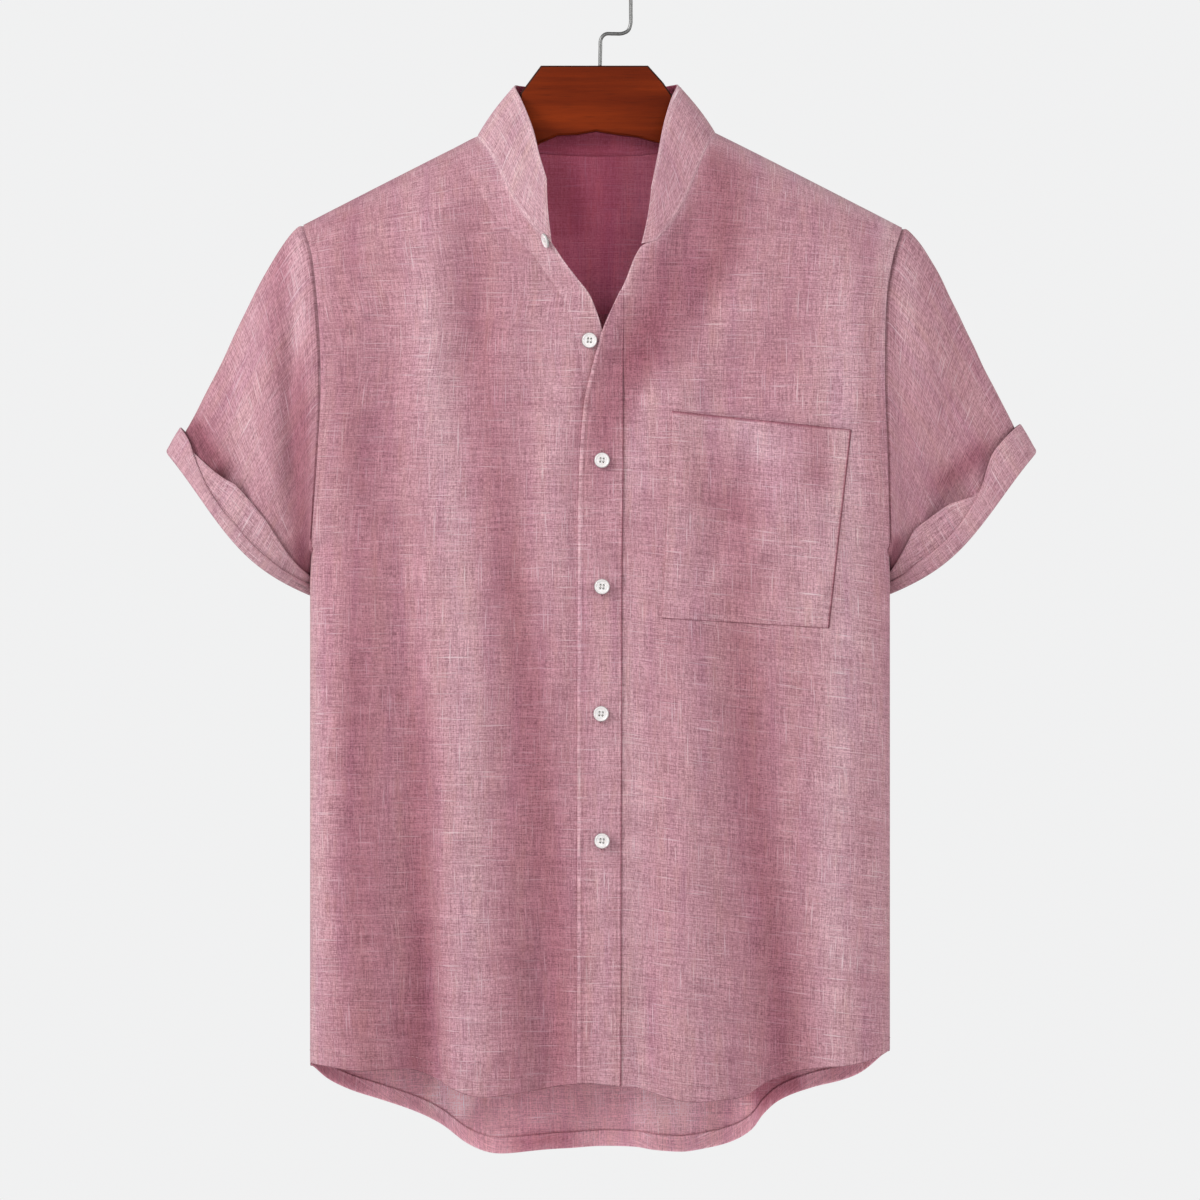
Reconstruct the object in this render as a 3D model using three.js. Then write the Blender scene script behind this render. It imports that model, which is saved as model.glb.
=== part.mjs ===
import * as THREE from 'three';

// Mandarin collar shirt with short turned-up sleeves, open at the neck, on a wooden hanger.
// Sizes are in millimetres. X runs to the viewer's right, -Y faces the viewer and Z is up.
// The origin is the inside top of the hook. Right and left in names are the wearer's.

// Cloth
const WALL = 1.2;
const CUFF_WALL = 2.4;
const SEAM = 0.25;
const LAYER = 2.05;

// Body
const ARMPIT = -440;
const FULLNESS = 2.6;
const SHOULDER_TOP = -76;
const SHOULDER_SLOPE = 0.519;
const SHOULDER_EASE = 30;
const SHOULDER_ROUND = 110;
const ARMHOLE_DEPTH = 38;
const ARMHOLE_DROP = 247;
const ARMHOLE_SOFT = 1.2;
const ARMHOLE_EASE = 1.5;
const YOKE_SEAM = -256;
const SIDE_NEAR = 190;
const SIDE_FAR = 240;
const FRONT_REACH = 100;

// Front opening
const PLACKET_TIP = 4;
const LIP_WIDTH = 20;
const LAP_FALL = 8;
const SHOULDER_LEFT_PART = 0.4;
const SHOULDER_RIGHT_PART = 0.85;

// Collar
const COLLAR_BASE_GAP = 1.5;
const COLLAR_BOW = 1.5;
const COLLAR_MIDDLE = -2;

// Sleeves and cuffs
const SLEEVE_HEAD_REACH = 22;
const SLEEVE_HEAD_DROP = 9;
const SLEEVE_FOOT_REACH = 3;
const CUFF_PULL_TOP = 62;
const CUFF_PULL_FOOT = 4;
const CUFF_OUTER_WIDTH = 25;
const CUFF_INNER_WIDTH = 15;
const CUFF_CLEAR = 2.4;
const CUFF_INNER_CLEAR = 2.2;
const CUFF_FLARE = 3;
const CUFF_DROP = 1.5;
const CUFF_BOW = 6.5;
const CUFF_BOW_SKEW = 1.4;

// Buttons
const BUTTON_RADIUS = 5.8;
const BUTTON_THICK = 2.6;
const BUTTON_RIM = 1.2;
const BUTTON_CLEAR = 0.5;

// Hanger
const BOARD_THICK = 11;
const BOARD_BEVEL = 1.2;
const BOARD_SEAT = 3.35;
const BOARD_TOP = -73;
const HOOK_WIRE = 1.35;
const HOOK_BEND = 23;
const HOOK_ROOT_GAP = 0.33;
const HOOK_END_DEGREES = 205;

// Looks
const LINEN = { color: 0xba8691, roughness: 0.9, metalness: 0, side: THREE.DoubleSide };
const SHELL_WHITE = { color: 0xe4dad6, roughness: 0.35, metalness: 0 };
const DARK_WOOD = { color: 0x732b14, roughness: 0.35, metalness: 0 };
const STEEL = { color: 0xb9b9b7, roughness: 0.25, metalness: 1 };

// Depth of the body in front of the side seams and behind them
const DEPTH = [
  { z: -900, front: 52, back: 50 },
  { z: -640, front: 51, back: 49 },
  { z: -440, front: 50, back: 47 },
  { z: -270, front: 47, back: 46 },
  { z: -90, front: 46, back: 46 },
];

// Armhole seams, and the side seams just under them
const ARMHOLE_RIGHT = [
  { z: -460, x: 217 },
  { z: -440, x: 216 },
  { z: -398, x: 212.5 },
  { z: -353, x: 209 },
  { z: -323, x: 207.5 },
  { z: -278, x: 208.2 },
  { z: -220, x: 214 },
  { z: -193, x: 222 },
];
const ARMHOLE_LEFT = [
  { z: -460, x: 217 },
  { z: -440, x: 216.6 },
  { z: -402, x: 215 },
  { z: -361, x: 213.5 },
  { z: -308, x: 211.5 },
  { z: -248, x: 213 },
  { z: -215, x: 219 },
  { z: -194, x: 226.5 },
];

// Free edge of each front and its collar seam, from the hem up to the neck
const EDGE_RIGHT = [
  { z: -900, x: 11 },
  { z: -383, x: 11 },
  { z: -353, x: 10.5 },
  { z: -323, x: 8.5 },
  { z: -293, x: 5 },
  { z: -269, x: 0.5 },
  { z: -248, x: -7.5 },
  { z: -235.6, x: -17 },
  { z: -224, x: -26 },
  { z: -209, x: -36.5 },
  { z: -198, x: -47 },
  { z: -179.4, x: -61 },
  { z: -145.6, x: -78 },
  { z: -125.8, x: -91.5 },
];
// Inner edge of the placket
const PLACKET_LINE = [
  { z: -900, x: 15.4 },
  { z: -470, x: 16.4 },
  { z: -380, x: 17.2 },
  { z: -240, x: 17.4 },
];
const EDGE_LEFT = [
  { z: -900, x: -15.6 },
  { z: -473, x: -15 },
  { z: -383, x: -14.2 },
  { z: -353, x: -12.7 },
  { z: -323, x: -9.7 },
  { z: -297, x: -3.7 },
  { z: -272, x: 3 },
  { z: -237, x: 18.6 },
  { z: -210.8, x: 30.6 },
  { z: -206.4, x: 41 },
  { z: -179.4, x: 60 },
  { z: -145.6, x: 74.5 },
  { z: -121.5, x: 86 },
];

// How far the right front's edge stands forward along the open neck
const LIP = [
  { z: -270, out: 0 },
  { z: -258, out: 2 },
  { z: -240, out: 8 },
  { z: -210, out: 12 },
  { z: -180, out: 6 },
  { z: -150, out: 0 },
];

// Hems
const FRONT_HEM = [
  { x: -217, z: -819 },
  { x: -204, z: -820 },
  { x: -181, z: -823 },
  { x: -157, z: -822 },
  { x: -136, z: -823 },
  { x: -95, z: -840 },
  { x: -67, z: -839.5 },
  { x: -46, z: -836.5 },
  { x: -15, z: -831 },
  { x: 15, z: -833 },
  { x: 28, z: -834 },
  { x: 53, z: -841.5 },
  { x: 70, z: -844 },
  { x: 91, z: -843 },
  { x: 107, z: -841 },
  { x: 124, z: -831 },
  { x: 138, z: -826 },
  { x: 153, z: -822 },
  { x: 190, z: -818 },
  { x: 206, z: -814 },
  { x: 217, z: -809.5 },
];
const BACK_HEM = [
  { x: -217, z: -822 },
  { x: -206, z: -833 },
  { x: -189, z: -842 },
  { x: -168, z: -851.5 },
  { x: -143, z: -861.5 },
  { x: -119, z: -873 },
  { x: -102, z: -883.5 },
  { x: -88, z: -889.5 },
  { x: -76, z: -891.5 },
  { x: -51, z: -891 },
  { x: -25, z: -889 },
  { x: 0, z: -886 },
  { x: 26, z: -887.5 },
  { x: 42, z: -891 },
  { x: 62, z: -892 },
  { x: 77, z: -889 },
  { x: 100, z: -882 },
  { x: 115, z: -873 },
  { x: 123, z: -862.5 },
  { x: 135, z: -852.5 },
  { x: 161, z: -843.5 },
  { x: 184, z: -837.5 },
  { x: 199, z: -831 },
  { x: 217, z: -813 },
];

// Fold lines that run down the cloth: x and how far out they stand at four heights
const FOLD_HEIGHTS = [-170, -350, -600, -830];
const FRONT_FOLDS = [
  { x: [-226, -214, -218, -218], out: [0, 0, 0, 0] },
  { x: [-205, -196, -203, -205], out: [0, 0.5, 1.5, 2] },
  { x: [-165, -155, -142, -127], out: [0, -1, -6, -12] },
  { x: [-135, -130, -113, -104], out: [1, 2.5, 5, 3] },
  { x: [-100, -78, -54, -36], out: [-1, -2.5, -5, -9] },
  { x: [-40, -20, -18, -17.5], out: [0, 0, 0, 0] },
  { x: [-5, 16, 17, 17.5], out: [0, 0, 0, 0] },
  { x: [5, 22, 26, 28], out: [0, -0.5, -2, -4] },
  { x: [40, 56, 62, 60], out: [0, 2, 4, 5] },
  { x: [90, 86, 106, 142], out: [-2, -3, -6, -12] },
  { x: [160, 152, 183, 190], out: [1, 2.5, 3, 1] },
  { x: [228, 215, 218, 218], out: [0, 0, 0, 0] },
];
const BACK_FOLDS = [
  { x: [-226, -214, -218, -218], out: [0, 0, 0, 0] },
  { x: [-190, -185, -180, -175], out: [0, -1, -3, -5] },
  { x: [-140, -140, -136, -130], out: [0, 1, 4, 7] },
  { x: [-100, -95, -90, -80], out: [0, -1, -4, -8] },
  { x: [-55, -50, -45, -40], out: [0, 1, 3, 5] },
  { x: [-10, -5, 0, 0], out: [0, -1, -4, -7] },
  { x: [45, 45, 48, 50], out: [0, 1, 3, 6] },
  { x: [90, 92, 96, 102], out: [0, -1, -4, -8] },
  { x: [140, 142, 145, 150], out: [0, 1, 3, 5] },
  { x: [190, 186, 190, 192], out: [0, -1, -2, -3] },
  { x: [228, 215, 218, 218], out: [0, 0, 0, 0] },
];

// Pocket corners on the left front
const POCKET_MOUTH = { x: 53.4, z: -333.3, slope: -0.104 };
const POCKET_FOOT = { x: 45.9, z: -486.7, slope: -0.06 };
const POCKET_LEFT = [
  { z: -840, x: 44 },
  { z: -487, x: 45.9 },
  { z: -333, x: 53.4 },
];
const POCKET_RIGHT = [
  { z: -840, x: 166 },
  { z: -494, x: 170 },
  { z: -347, x: 186.4 },
];
const POCKET_LIFT = 2.2;
const POCKET_MOUTH_STAND = 1.2;

// Rows and columns of the panels
const CELLS = {
  roundOver: 8, chest: 4, pocketHigh: 5, pocketLow: 2, skirt: 12,
  rightFront: 14, rightEdge: 3, placket: 2, besidePocket: 2, pocketWide: 7, outside: 4,
  back: 24, backHigh: 7, yoke: 6, yokeSide: 7, yokeNeck: 10, collarHigh: 3,
  ring: 20, sleeve: 7, cuff: 3, button: 16, wire: 5, hookSteps: 44,
};

// Back neck seam, the top of the collar and its front corners
const BACK_NECK = [
  { x: -92, z: -125.8 },
  { x: -80, z: -129.5 },
  { x: -60, z: -132 },
  { x: -30, z: -134 },
  { x: 0, z: -134.5 },
  { x: 30, z: -134 },
  { x: 60, z: -130 },
  { x: 76, z: -125.5 },
  { x: 86, z: -121.5 },
];
const COLLAR_TOP = [
  { x: -39.5, y: -48, z: -162 },
  { x: -45, y: -37, z: -143 },
  { x: -50.5, y: -24, z: -121 },
  { x: -59, y: -10, z: -99 },
  { x: -64, y: 0, z: -88 },
  { x: -60, y: 12, z: -87 },
  { x: -47, y: 26, z: -87 },
  { x: -26, y: 35, z: -87 },
  { x: 0, y: 38, z: -87 },
  { x: 24, y: 35, z: -87 },
  { x: 43, y: 26, z: -87 },
  { x: 55, y: 12, z: -86.5 },
  { x: 58, y: 0, z: -87.5 },
  { x: 54, y: -11, z: -97 },
  { x: 48, y: -23, z: -117 },
  { x: 43, y: -33, z: -143 },
  { x: 38, y: -41, z: -168 },
];

// Turned-up end of each sleeve, from its outer corner to its inner corner
const CUFF_RIGHT = {
  outer: [-318.5, 6, -358], inner: [-227, 18, -463.5], depth: 29, axis: [-0.55, 0.05, -0.83],
};
const CUFF_LEFT = {
  outer: [320.5, 6, -358], inner: [227, 18, -462.5], depth: 29, axis: [0.55, 0.05, -0.83],
};

// Buttons and the cloth each one is sewn to
const BUTTONS = [
  { name: 'button_1', at: [-40.3, -60.8, -208], face: [-0.86, -0.4, -0.31] },
  { name: 'button_2', x: -7.8, z: -281, on: 'front' },
  { name: 'button_3', x: 1.5, z: -370, on: 'placket' },
  { name: 'button_4', x: 1.5, z: -463.5, on: 'placket' },
  { name: 'button_5', x: 0.8, z: -557.5, on: 'placket' },
  { name: 'button_6', x: 1.5, z: -651.5, on: 'placket' },
];

// Board of the hanger: neck block over the arms, arm ends and under edge, as [x, z]
const BOARD_NECK = [[-94, -135], [-71, -121], [-62.5, -108], [-59.3, -93.2], [-44.3, BOARD_TOP],
  [36, BOARD_TOP], [47.3, -85.6], [54, -95.3], [58, -108], [68, -121], [94, -135]];
const BOARD_ARM_TOP = [206, 180, 155, 130, 110];
const BOARD_ARM_END = [[212, -194], [213, -205], [208, -215]];
const BOARD_UNDER = [[180, -207], [120, -180], [75, -157], [45, -136]];
const BOARD_ARCH = [[28, -128], [12, -124.5], [-3, -122], [-17, -124.5], [-32, -128]];

// Hook wire from its root in the board to the start of the bend, as [x, z]
const HOOK_SHANK = [[0, BOARD_TOP + HOOK_ROOT_GAP], [0.3, -60], [0.8, -52.5], [4, -49], [10, -48.7],
  [16.5, -48.5], [21, -46.3], [22.9, -41.5], [23.1, -33]];

const V = (x, y, z) => new THREE.Vector3(x, y, z);
const { lerp, clamp } = THREE.MathUtils;

// Smooth step from 0 to 1.
function ease(t) {
  const u = clamp(t, 0, 1);
  return u * u * (3 - 2 * u);
}

// Reads a column of a table at a height or a place, with a smooth line through its rows.
function read(table, key, column, at) {
  const last = table.length - 1;
  if (at <= table[0][key]) return table[0][column];
  if (at >= table[last][key]) return table[last][column];
  let i = 0;
  while (table[i + 1][key] < at) i += 1;
  const slope = (k) => {
    const a = table[Math.max(k - 1, 0)];
    const b = table[Math.min(k + 1, last)];
    return (b[column] - a[column]) / (b[key] - a[key]);
  };
  const step = table[i + 1][key] - table[i][key];
  const t = (at - table[i][key]) / step;
  const t2 = t * t;
  const t3 = t2 * t;
  return table[i][column] * (2 * t3 - 3 * t2 + 1) + table[i + 1][column] * (3 * t2 - 2 * t3)
    + step * (slope(i) * (t3 - 2 * t2 + t) + slope(i + 1) * (t3 - t2));
}

// Height of the shoulder seams, eased over the neck.
const shoulderZ = (x) => SHOULDER_TOP - SHOULDER_SLOPE * Math.hypot(x, SHOULDER_EASE);

// Armhole or side seam of one side at a height.
function edgeX(side, z) {
  return side * read(side < 0 ? ARMHOLE_RIGHT : ARMHOLE_LEFT, 'z', 'x', z);
}

// Stands the cloth out or in between the fold lines on either side of x.
function foldOut(folds, x, z) {
  const h = FOLD_HEIGHTS;
  let k = 0;
  while (k < h.length - 2 && z < h[k + 1]) k += 1;
  const t = ease((h[k] - z) / (h[k] - h[k + 1]));
  const at = (fold) => ({ x: lerp(fold.x[k], fold.x[k + 1], t), out: lerp(fold.out[k], fold.out[k + 1], t) });
  const lines = folds.map(at);
  let i = 0;
  while (i < lines.length - 2 && x > lines[i + 1].x) i += 1;
  const u = ease((x - lines[i].x) / (lines[i + 1].x - lines[i].x));
  return lerp(lines[i].out, lines[i + 1].out, u);
}

// Depth of the body's cloth at x and z, from the plane of the side seams.
function bodyY(x, z, back) {
  const side = x < 0 ? -1 : 1;
  const down = Math.max(shoulderZ(x) - z, 0);
  const round = Math.min(down / SHOULDER_ROUND, 1);
  const over = Math.sqrt(1 - (1 - round) ** 2);
  const across = Math.min(Math.abs(x / edgeX(side, z)), 1);
  const hole = 2 * down / ARMHOLE_DROP - 1;
  const open = 1 - hole * hole;
  const soft = ARMHOLE_SOFT * (1 - across) * Math.min(down / ARMHOLE_DROP, 1) ** 2;
  const edge = ARMHOLE_DEPTH * Math.sqrt((open + Math.hypot(open, soft)) / 2);
  const full = (1 - across ** FULLNESS) ** (1 / FULLNESS);
  const deep = read(DEPTH, 'z', back ? 'back' : 'front', z) * over;
  const fold = foldOut(back ? BACK_FOLDS : FRONT_FOLDS, x, z) * full * over;
  const y = Math.max(edge + (deep - edge) * full + fold, SEAM);
  return back ? y : -y;
}

// Front cloth: the left front lies one layer over the right one.
function frontY(x, z, side) {
  const y = bodyY(x, z, false);
  if (side > 0) {
    const across = Math.min(Math.abs(x / edgeX(1, z)), 1);
    return y - LAYER * (1 - across ** LAP_FALL);
  }
  const near = clamp(1 - (read(EDGE_RIGHT, 'z', 'x', z) - x) / LIP_WIDTH, 0, 1);
  return y - read(LIP, 'z', 'out', z) * near * near;
}

// Row of the fronts where the collar ends.
function collarRow() {
  return CELLS.skirt + CELLS.pocketLow + CELLS.pocketHigh + CELLS.chest;
}

// Heights of the rows of both fronts, each a line across the cloth.
function frontRows() {
  const mouth = (x) => POCKET_MOUTH.z + POCKET_MOUTH.slope * Math.max(0, x - POCKET_MOUTH.x);
  const foot = (x) => POCKET_FOOT.z + POCKET_FOOT.slope * Math.max(0, x - POCKET_FOOT.x);
  const levels = [
    { z: (x) => read(FRONT_HEM, 'x', 'z', x), cells: CELLS.skirt },
    { z: foot, cells: CELLS.pocketLow },
    { z: () => ARMPIT, cells: CELLS.pocketHigh },
    { z: mouth, cells: CELLS.chest },
    { z: (x) => shoulderZ(x) - SHOULDER_ROUND, cells: 0 },
  ];
  return stack(levels).concat(roundRows());
}

// Rows in even steps between levels.
function stack(levels) {
  const rows = [];
  for (let i = 0; i + 1 < levels.length; i += 1) {
    for (let k = 0; k < levels[i].cells; k += 1) {
      rows.push((x) => lerp(levels[i].z(x), levels[i + 1].z(x), k / levels[i].cells));
    }
  }
  return rows;
}

// Rows over the rounded shoulder, up to its seam.
function roundRows() {
  const rows = [];
  for (let k = 0; k <= CELLS.roundOver; k += 1) {
    const turn = (1 - k / CELLS.roundOver) * Math.PI / 2;
    rows.push((x) => shoulderZ(x) - SHOULDER_ROUND * (1 - Math.cos(turn)));
  }
  return rows;
}

// Where a row meets an edge given as x at a height.
function meet(row, edge, low, high) {
  let a = low;
  let b = high;
  for (let k = 0; k < 40; k += 1) {
    const x = (a + b) / 2;
    if (x < edge(row(x))) a = x;
    else b = x;
  }
  return (a + b) / 2;
}

// Where a row meets the armhole or the side seam of one side.
function meetSide(row, side) {
  const [low, high] = side < 0 ? [-SIDE_FAR, -SIDE_NEAR] : [SIDE_NEAR, SIDE_FAR];
  return meet(row, (z) => edgeX(side, z), low, high);
}

// Even steps along a fine line.
function evenSteps(line, cells) {
  const run = [0];
  for (let i = 1; i < line.length; i += 1) run.push(run[i - 1] + line[i].distanceTo(line[i - 1]));
  const points = [];
  let i = 0;
  for (let k = 0; k <= cells; k += 1) {
    const at = run[run.length - 1] * k / cells;
    while (i < line.length - 2 && run[i + 1] < at) i += 1;
    points.push(line[i].clone().lerp(line[i + 1], (at - run[i]) / (run[i + 1] - run[i])));
  }
  return points;
}

// One row of points between guide places, each stretch in even steps along the cloth.
function sampleRow(guides, cells, point) {
  const fine = 48;
  const row = [];
  cells.forEach((count, g) => {
    const line = [];
    for (let k = 0; k <= fine; k += 1) {
      const use = (1 - Math.cos(Math.PI * k / fine)) / 2;
      line.push(point(lerp(guides[g], guides[g + 1], use)));
    }
    row.push(...evenSteps(line, count).slice(g === 0 ? 0 : 1));
  });
  return row;
}

// Closes a sheet of points into a wall of even thickness.
function wall(rows, thickness, options = {}) {
  const count = rows[0].length;
  const { ring = false, normal = () => null } = options;
  const at = (i, j) => {
    const r = rows[clamp(i, 0, rows.length - 1)];
    return r[ring ? (j + count) % count : clamp(j, 0, count - 1)];
  };
  const outer = [];
  const inner = [];
  rows.forEach((row, i) => row.forEach((p, j) => {
    const across = at(i, j + 1).clone().sub(at(i, j - 1));
    const up = at(i + 1, j).clone().sub(at(i - 1, j));
    const n = normal(i, j) || across.cross(up).normalize();
    outer.push(p.clone().addScaledVector(n, thickness / 2));
    inner.push(p.clone().addScaledVector(n, -thickness / 2));
  }));
  const points = outer.concat(inner);
  const shift = outer.length;
  const faces = [];
  const quad = (a, b, c, d) => faces.push(a, b, c, a, c, d);
  const id = (i, j) => i * count + (j % count);
  const columns = ring ? count : count - 1;
  for (let i = 0; i + 1 < rows.length; i += 1) {
    for (let j = 0; j < columns; j += 1) {
      const [a, b, c, d] = [id(i, j), id(i, j + 1), id(i + 1, j + 1), id(i + 1, j)];
      quad(a, b, c, d);
      quad(d + shift, c + shift, b + shift, a + shift);
    }
  }
  const top = rows.length - 1;
  for (let j = 0; j < columns; j += 1) {
    quad(id(0, j) + shift, id(0, j + 1) + shift, id(0, j + 1), id(0, j));
    quad(id(top, j), id(top, j + 1), id(top, j + 1) + shift, id(top, j) + shift);
  }
  if (!ring) {
    for (let i = 0; i < top; i += 1) {
      quad(id(i, 0), id(i + 1, 0), id(i + 1, 0) + shift, id(i, 0) + shift);
      const e = count - 1;
      quad(id(i, e) + shift, id(i + 1, e) + shift, id(i + 1, e), id(i, e));
    }
  }
  return closedGeometry(points, faces);
}

// Geometry with its faces turned out.
function closedGeometry(points, faces) {
  let volume = 0;
  for (let i = 0; i < faces.length; i += 3) {
    const [a, b, c] = faces.slice(i, i + 3).map((k) => points[k]);
    volume += a.dot(b.clone().cross(c));
  }
  const geometry = new THREE.BufferGeometry();
  geometry.setAttribute('position', new THREE.Float32BufferAttribute(points.flatMap((p) => p.toArray()), 3));
  geometry.setIndex(volume < 0 ? faces.slice().reverse() : faces);
  geometry.computeVertexNormals();
  return geometry;
}

// Direction square to a shoulder seam.
const shoulderNormal = (side) => V(side * SHOULDER_SLOPE, 0, 1).normalize();

// Points of the right front, from the side seam to its free edge under the placket.
function frontRightGrid() {
  return frontRows().map((row) => {
    const edge = meetSide(row, -1);
    const inner = meet(row, (z) => read(EDGE_RIGHT, 'z', 'x', z), -FRONT_REACH, FRONT_REACH);
    const guides = [edge, inner - LIP_WIDTH, inner];
    const cells = [CELLS.rightFront, CELLS.rightEdge];
    return sampleRow(guides, cells, (x) => V(x, frontY(x, row(x), -1), row(x)));
  });
}

// Points of the left front, with columns on the placket's edge and the pocket's sides.
function frontLeftGrid() {
  const rows = frontRows();
  const mouthRow = CELLS.skirt + CELLS.pocketLow + CELLS.pocketHigh;
  return rows.map((row, i) => {
    const inner = meet(row, (z) => read(EDGE_LEFT, 'z', 'x', z), -FRONT_REACH, FRONT_REACH);
    const edge = meetSide(row, 1);
    const wide = edge - inner;
    const line = meet(row, (z) => read(PLACKET_LINE, 'z', 'x', z), 0, FRONT_REACH);
    const strip = Math.max(line, inner + PLACKET_TIP);
    const rise = ease((i - mouthRow) / (rows.length - 1 - mouthRow));
    const near = meet(row, (z) => read(POCKET_LEFT, 'z', 'x', z), 0, FRONT_REACH);
    const far = meet(row, (z) => read(POCKET_RIGHT, 'z', 'x', z), FRONT_REACH, SIDE_FAR);
    const left = lerp(near, inner + wide * SHOULDER_LEFT_PART, rise);
    const right = lerp(far, inner + wide * SHOULDER_RIGHT_PART, rise);
    const guides = [inner, strip, left, right, edge];
    const cells = [CELLS.placket, CELLS.besidePocket, CELLS.pocketWide, CELLS.outside];
    return sampleRow(guides, cells, (x) => V(x, frontY(x, row(x), 1), row(x)));
  });
}

// Walls square to the shoulder seam and the side seam.
function frontNormal(grid, side, seamColumn) {
  const below = CELLS.skirt + CELLS.pocketLow;
  return (i, j) => {
    if (i === grid.length - 1) return shoulderNormal(side);
    return j === seamColumn && i <= below ? V(side, 0, 0) : null;
  };
}

// Part of a panel's points moved out, for what is sewn on it.
function moveOut(grid, rowRange, columnRange, distance, stand = () => 0) {
  const [r0, r1] = rowRange;
  const [c0, c1] = columnRange;
  const rows = [];
  for (let i = r0; i <= r1; i += 1) {
    const row = [];
    for (let j = c0; j <= c1; j += 1) {
      const right = grid[i][Math.min(j + 1, grid[i].length - 1)];
      const across = right.clone().sub(grid[i][Math.max(j - 1, 0)]);
      const up = grid[Math.min(i + 1, grid.length - 1)][j].clone().sub(grid[Math.max(i - 1, 0)][j]);
      const n = across.cross(up).normalize();
      row.push(grid[i][j].clone().addScaledVector(n, distance + stand(i - r0, j - c0)));
    }
    rows.push(row);
  }
  return rows;
}

// Placket on the left front's free edge. The slanting neckline cuts it off a row below the collar.
function placket(grid) {
  const top = collarRow() - 1;
  return wall(moveOut(grid, [0, top], [0, CELLS.placket], LAYER), WALL);
}

// Patch pocket, its mouth standing a little open.
function pocket(grid) {
  const foot = CELLS.skirt;
  const mouth = foot + CELLS.pocketLow + CELLS.pocketHigh;
  const side = CELLS.placket + CELLS.besidePocket;
  const high = mouth - foot;
  const stand = (i, j) => {
    const up = ease((i - high + 2) / 2);
    return POCKET_MOUTH_STAND * up * Math.sin(Math.PI * j / CELLS.pocketWide);
  };
  const rows = moveOut(grid, [foot, mouth], [side, side + CELLS.pocketWide], POCKET_LIFT, stand);
  return wall(rows, WALL);
}

// Back panel under the yoke.
function back() {
  const levels = [
    { z: (x) => read(BACK_HEM, 'x', 'z', x), cells: CELLS.skirt },
    { z: () => ARMPIT, cells: CELLS.backHigh },
    { z: () => YOKE_SEAM - SEAM, cells: 0 },
  ];
  const rows = stack(levels).concat([levels[2].z]);
  const grid = rows.map((row) => {
    const guides = [meetSide(row, 1), meetSide(row, -1)];
    return sampleRow(guides, [CELLS.back], (x) => V(x, bodyY(x, row(x), true), row(x)));
  });
  const normal = (i, j) => {
    if (i > CELLS.skirt || (j > 0 && j < CELLS.back)) return null;
    return V(j === 0 ? 1 : -1, 0, 0);
  };
  return wall(grid, WALL, { normal });
}

// Points of the yoke between the back neck, the shoulder seams and the back panel.
function yokeGrid() {
  const first = BACK_NECK[0].x;
  const last = BACK_NECK[BACK_NECK.length - 1].x;
  const topZ = (x) => (x < first || x > last ? shoulderZ(x) : read(BACK_NECK, 'x', 'z', x));
  const reach = (side) => Math.abs(meetSide(shoulderZ, side));
  const guides = [1, last / reach(1), first / reach(-1), -1];
  const cells = [CELLS.yokeSide, CELLS.yokeNeck, CELLS.yokeSide];
  const parts = [1];
  cells.forEach((count, g) => {
    for (let k = 1; k <= count; k += 1) parts.push(lerp(guides[g], guides[g + 1], k / count));
  });
  const columns = parts.map((part) => {
    const side = part < 0 ? -1 : 1;
    const xAt = (z) => Math.abs(part) * edgeX(side, z);
    let top = YOKE_SEAM;
    for (let k = 0; k < 30; k += 1) top = topZ(xAt(top));
    const line = [];
    for (let k = 0; k <= 60; k += 1) {
      const z = lerp(YOKE_SEAM + SEAM, top, Math.sin(k / 60 * Math.PI / 2));
      line.push(V(xAt(z), bodyY(xAt(z), z, true), z));
    }
    return evenSteps(line, CELLS.yoke);
  });
  return columns[0].map((_, i) => columns.map((column) => column[i]));
}

// Back yoke with walls square to the shoulder seams.
function yoke(grid) {
  const last = grid[0].length - 1;
  const normal = (i, j) => {
    if (i < CELLS.yoke || (j > CELLS.yokeSide && j < last - CELLS.yokeSide)) return null;
    return shoulderNormal(j < last / 2 ? 1 : -1);
  };
  return wall(grid, WALL, { normal });
}

// Collar standing on the neck seam, from the right front's end round the back to the left front's.
function collarGrid(right, left, yokePoints) {
  const start = collarRow();
  const rightSeam = right.slice(start).map((row) => row[row.length - 1]);
  const neckEnd = CELLS.yokeSide + CELLS.yokeNeck + 1;
  const backSeam = yokePoints[CELLS.yoke].slice(CELLS.yokeSide, neckEnd).reverse();
  const leftSeam = left.slice(start).map((row) => row[0]).reverse();
  const top = new THREE.CatmullRomCurve3(COLLAR_TOP.map((p) => V(p.x, p.y, p.z)), false, 'centripetal');
  const seams = [rightSeam, backSeam, leftSeam];
  const last = COLLAR_TOP.length - 1;
  const stops = [0, COLLAR_TOP.findIndex((p) => p.y === 0), COLLAR_TOP.findLastIndex((p) => p.y === 0), last];
  const base = [];
  const rim = [];
  seams.forEach((seam, g) => {
    const run = [0];
    for (let i = 1; i < seam.length; i += 1) run.push(run[i - 1] + seam[i].distanceTo(seam[i - 1]));
    seam.forEach((p, i) => {
      if (g > 0 && i === 0) return;
      base.push(p.clone());
      const at = lerp(stops[g], stops[g + 1], run[i] / run[run.length - 1]);
      rim.push(top.getPoint(at / last));
    });
  });
  const middle = V(COLLAR_MIDDLE, 0, 0);
  const grid = [];
  for (let i = 0; i <= CELLS.collarHigh; i += 1) {
    grid.push(base.map((b, j) => {
      const rise = rim[j].clone().sub(b);
      const t = lerp(COLLAR_BASE_GAP / rise.length(), 1, i / CELLS.collarHigh);
      const p = b.clone().addScaledVector(rise, t);
      const out = p.clone().sub(middle).setZ(0).normalize();
      return p.addScaledVector(out, COLLAR_BOW * Math.sin(Math.PI * t));
    }));
  }
  return grid;
}

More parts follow.
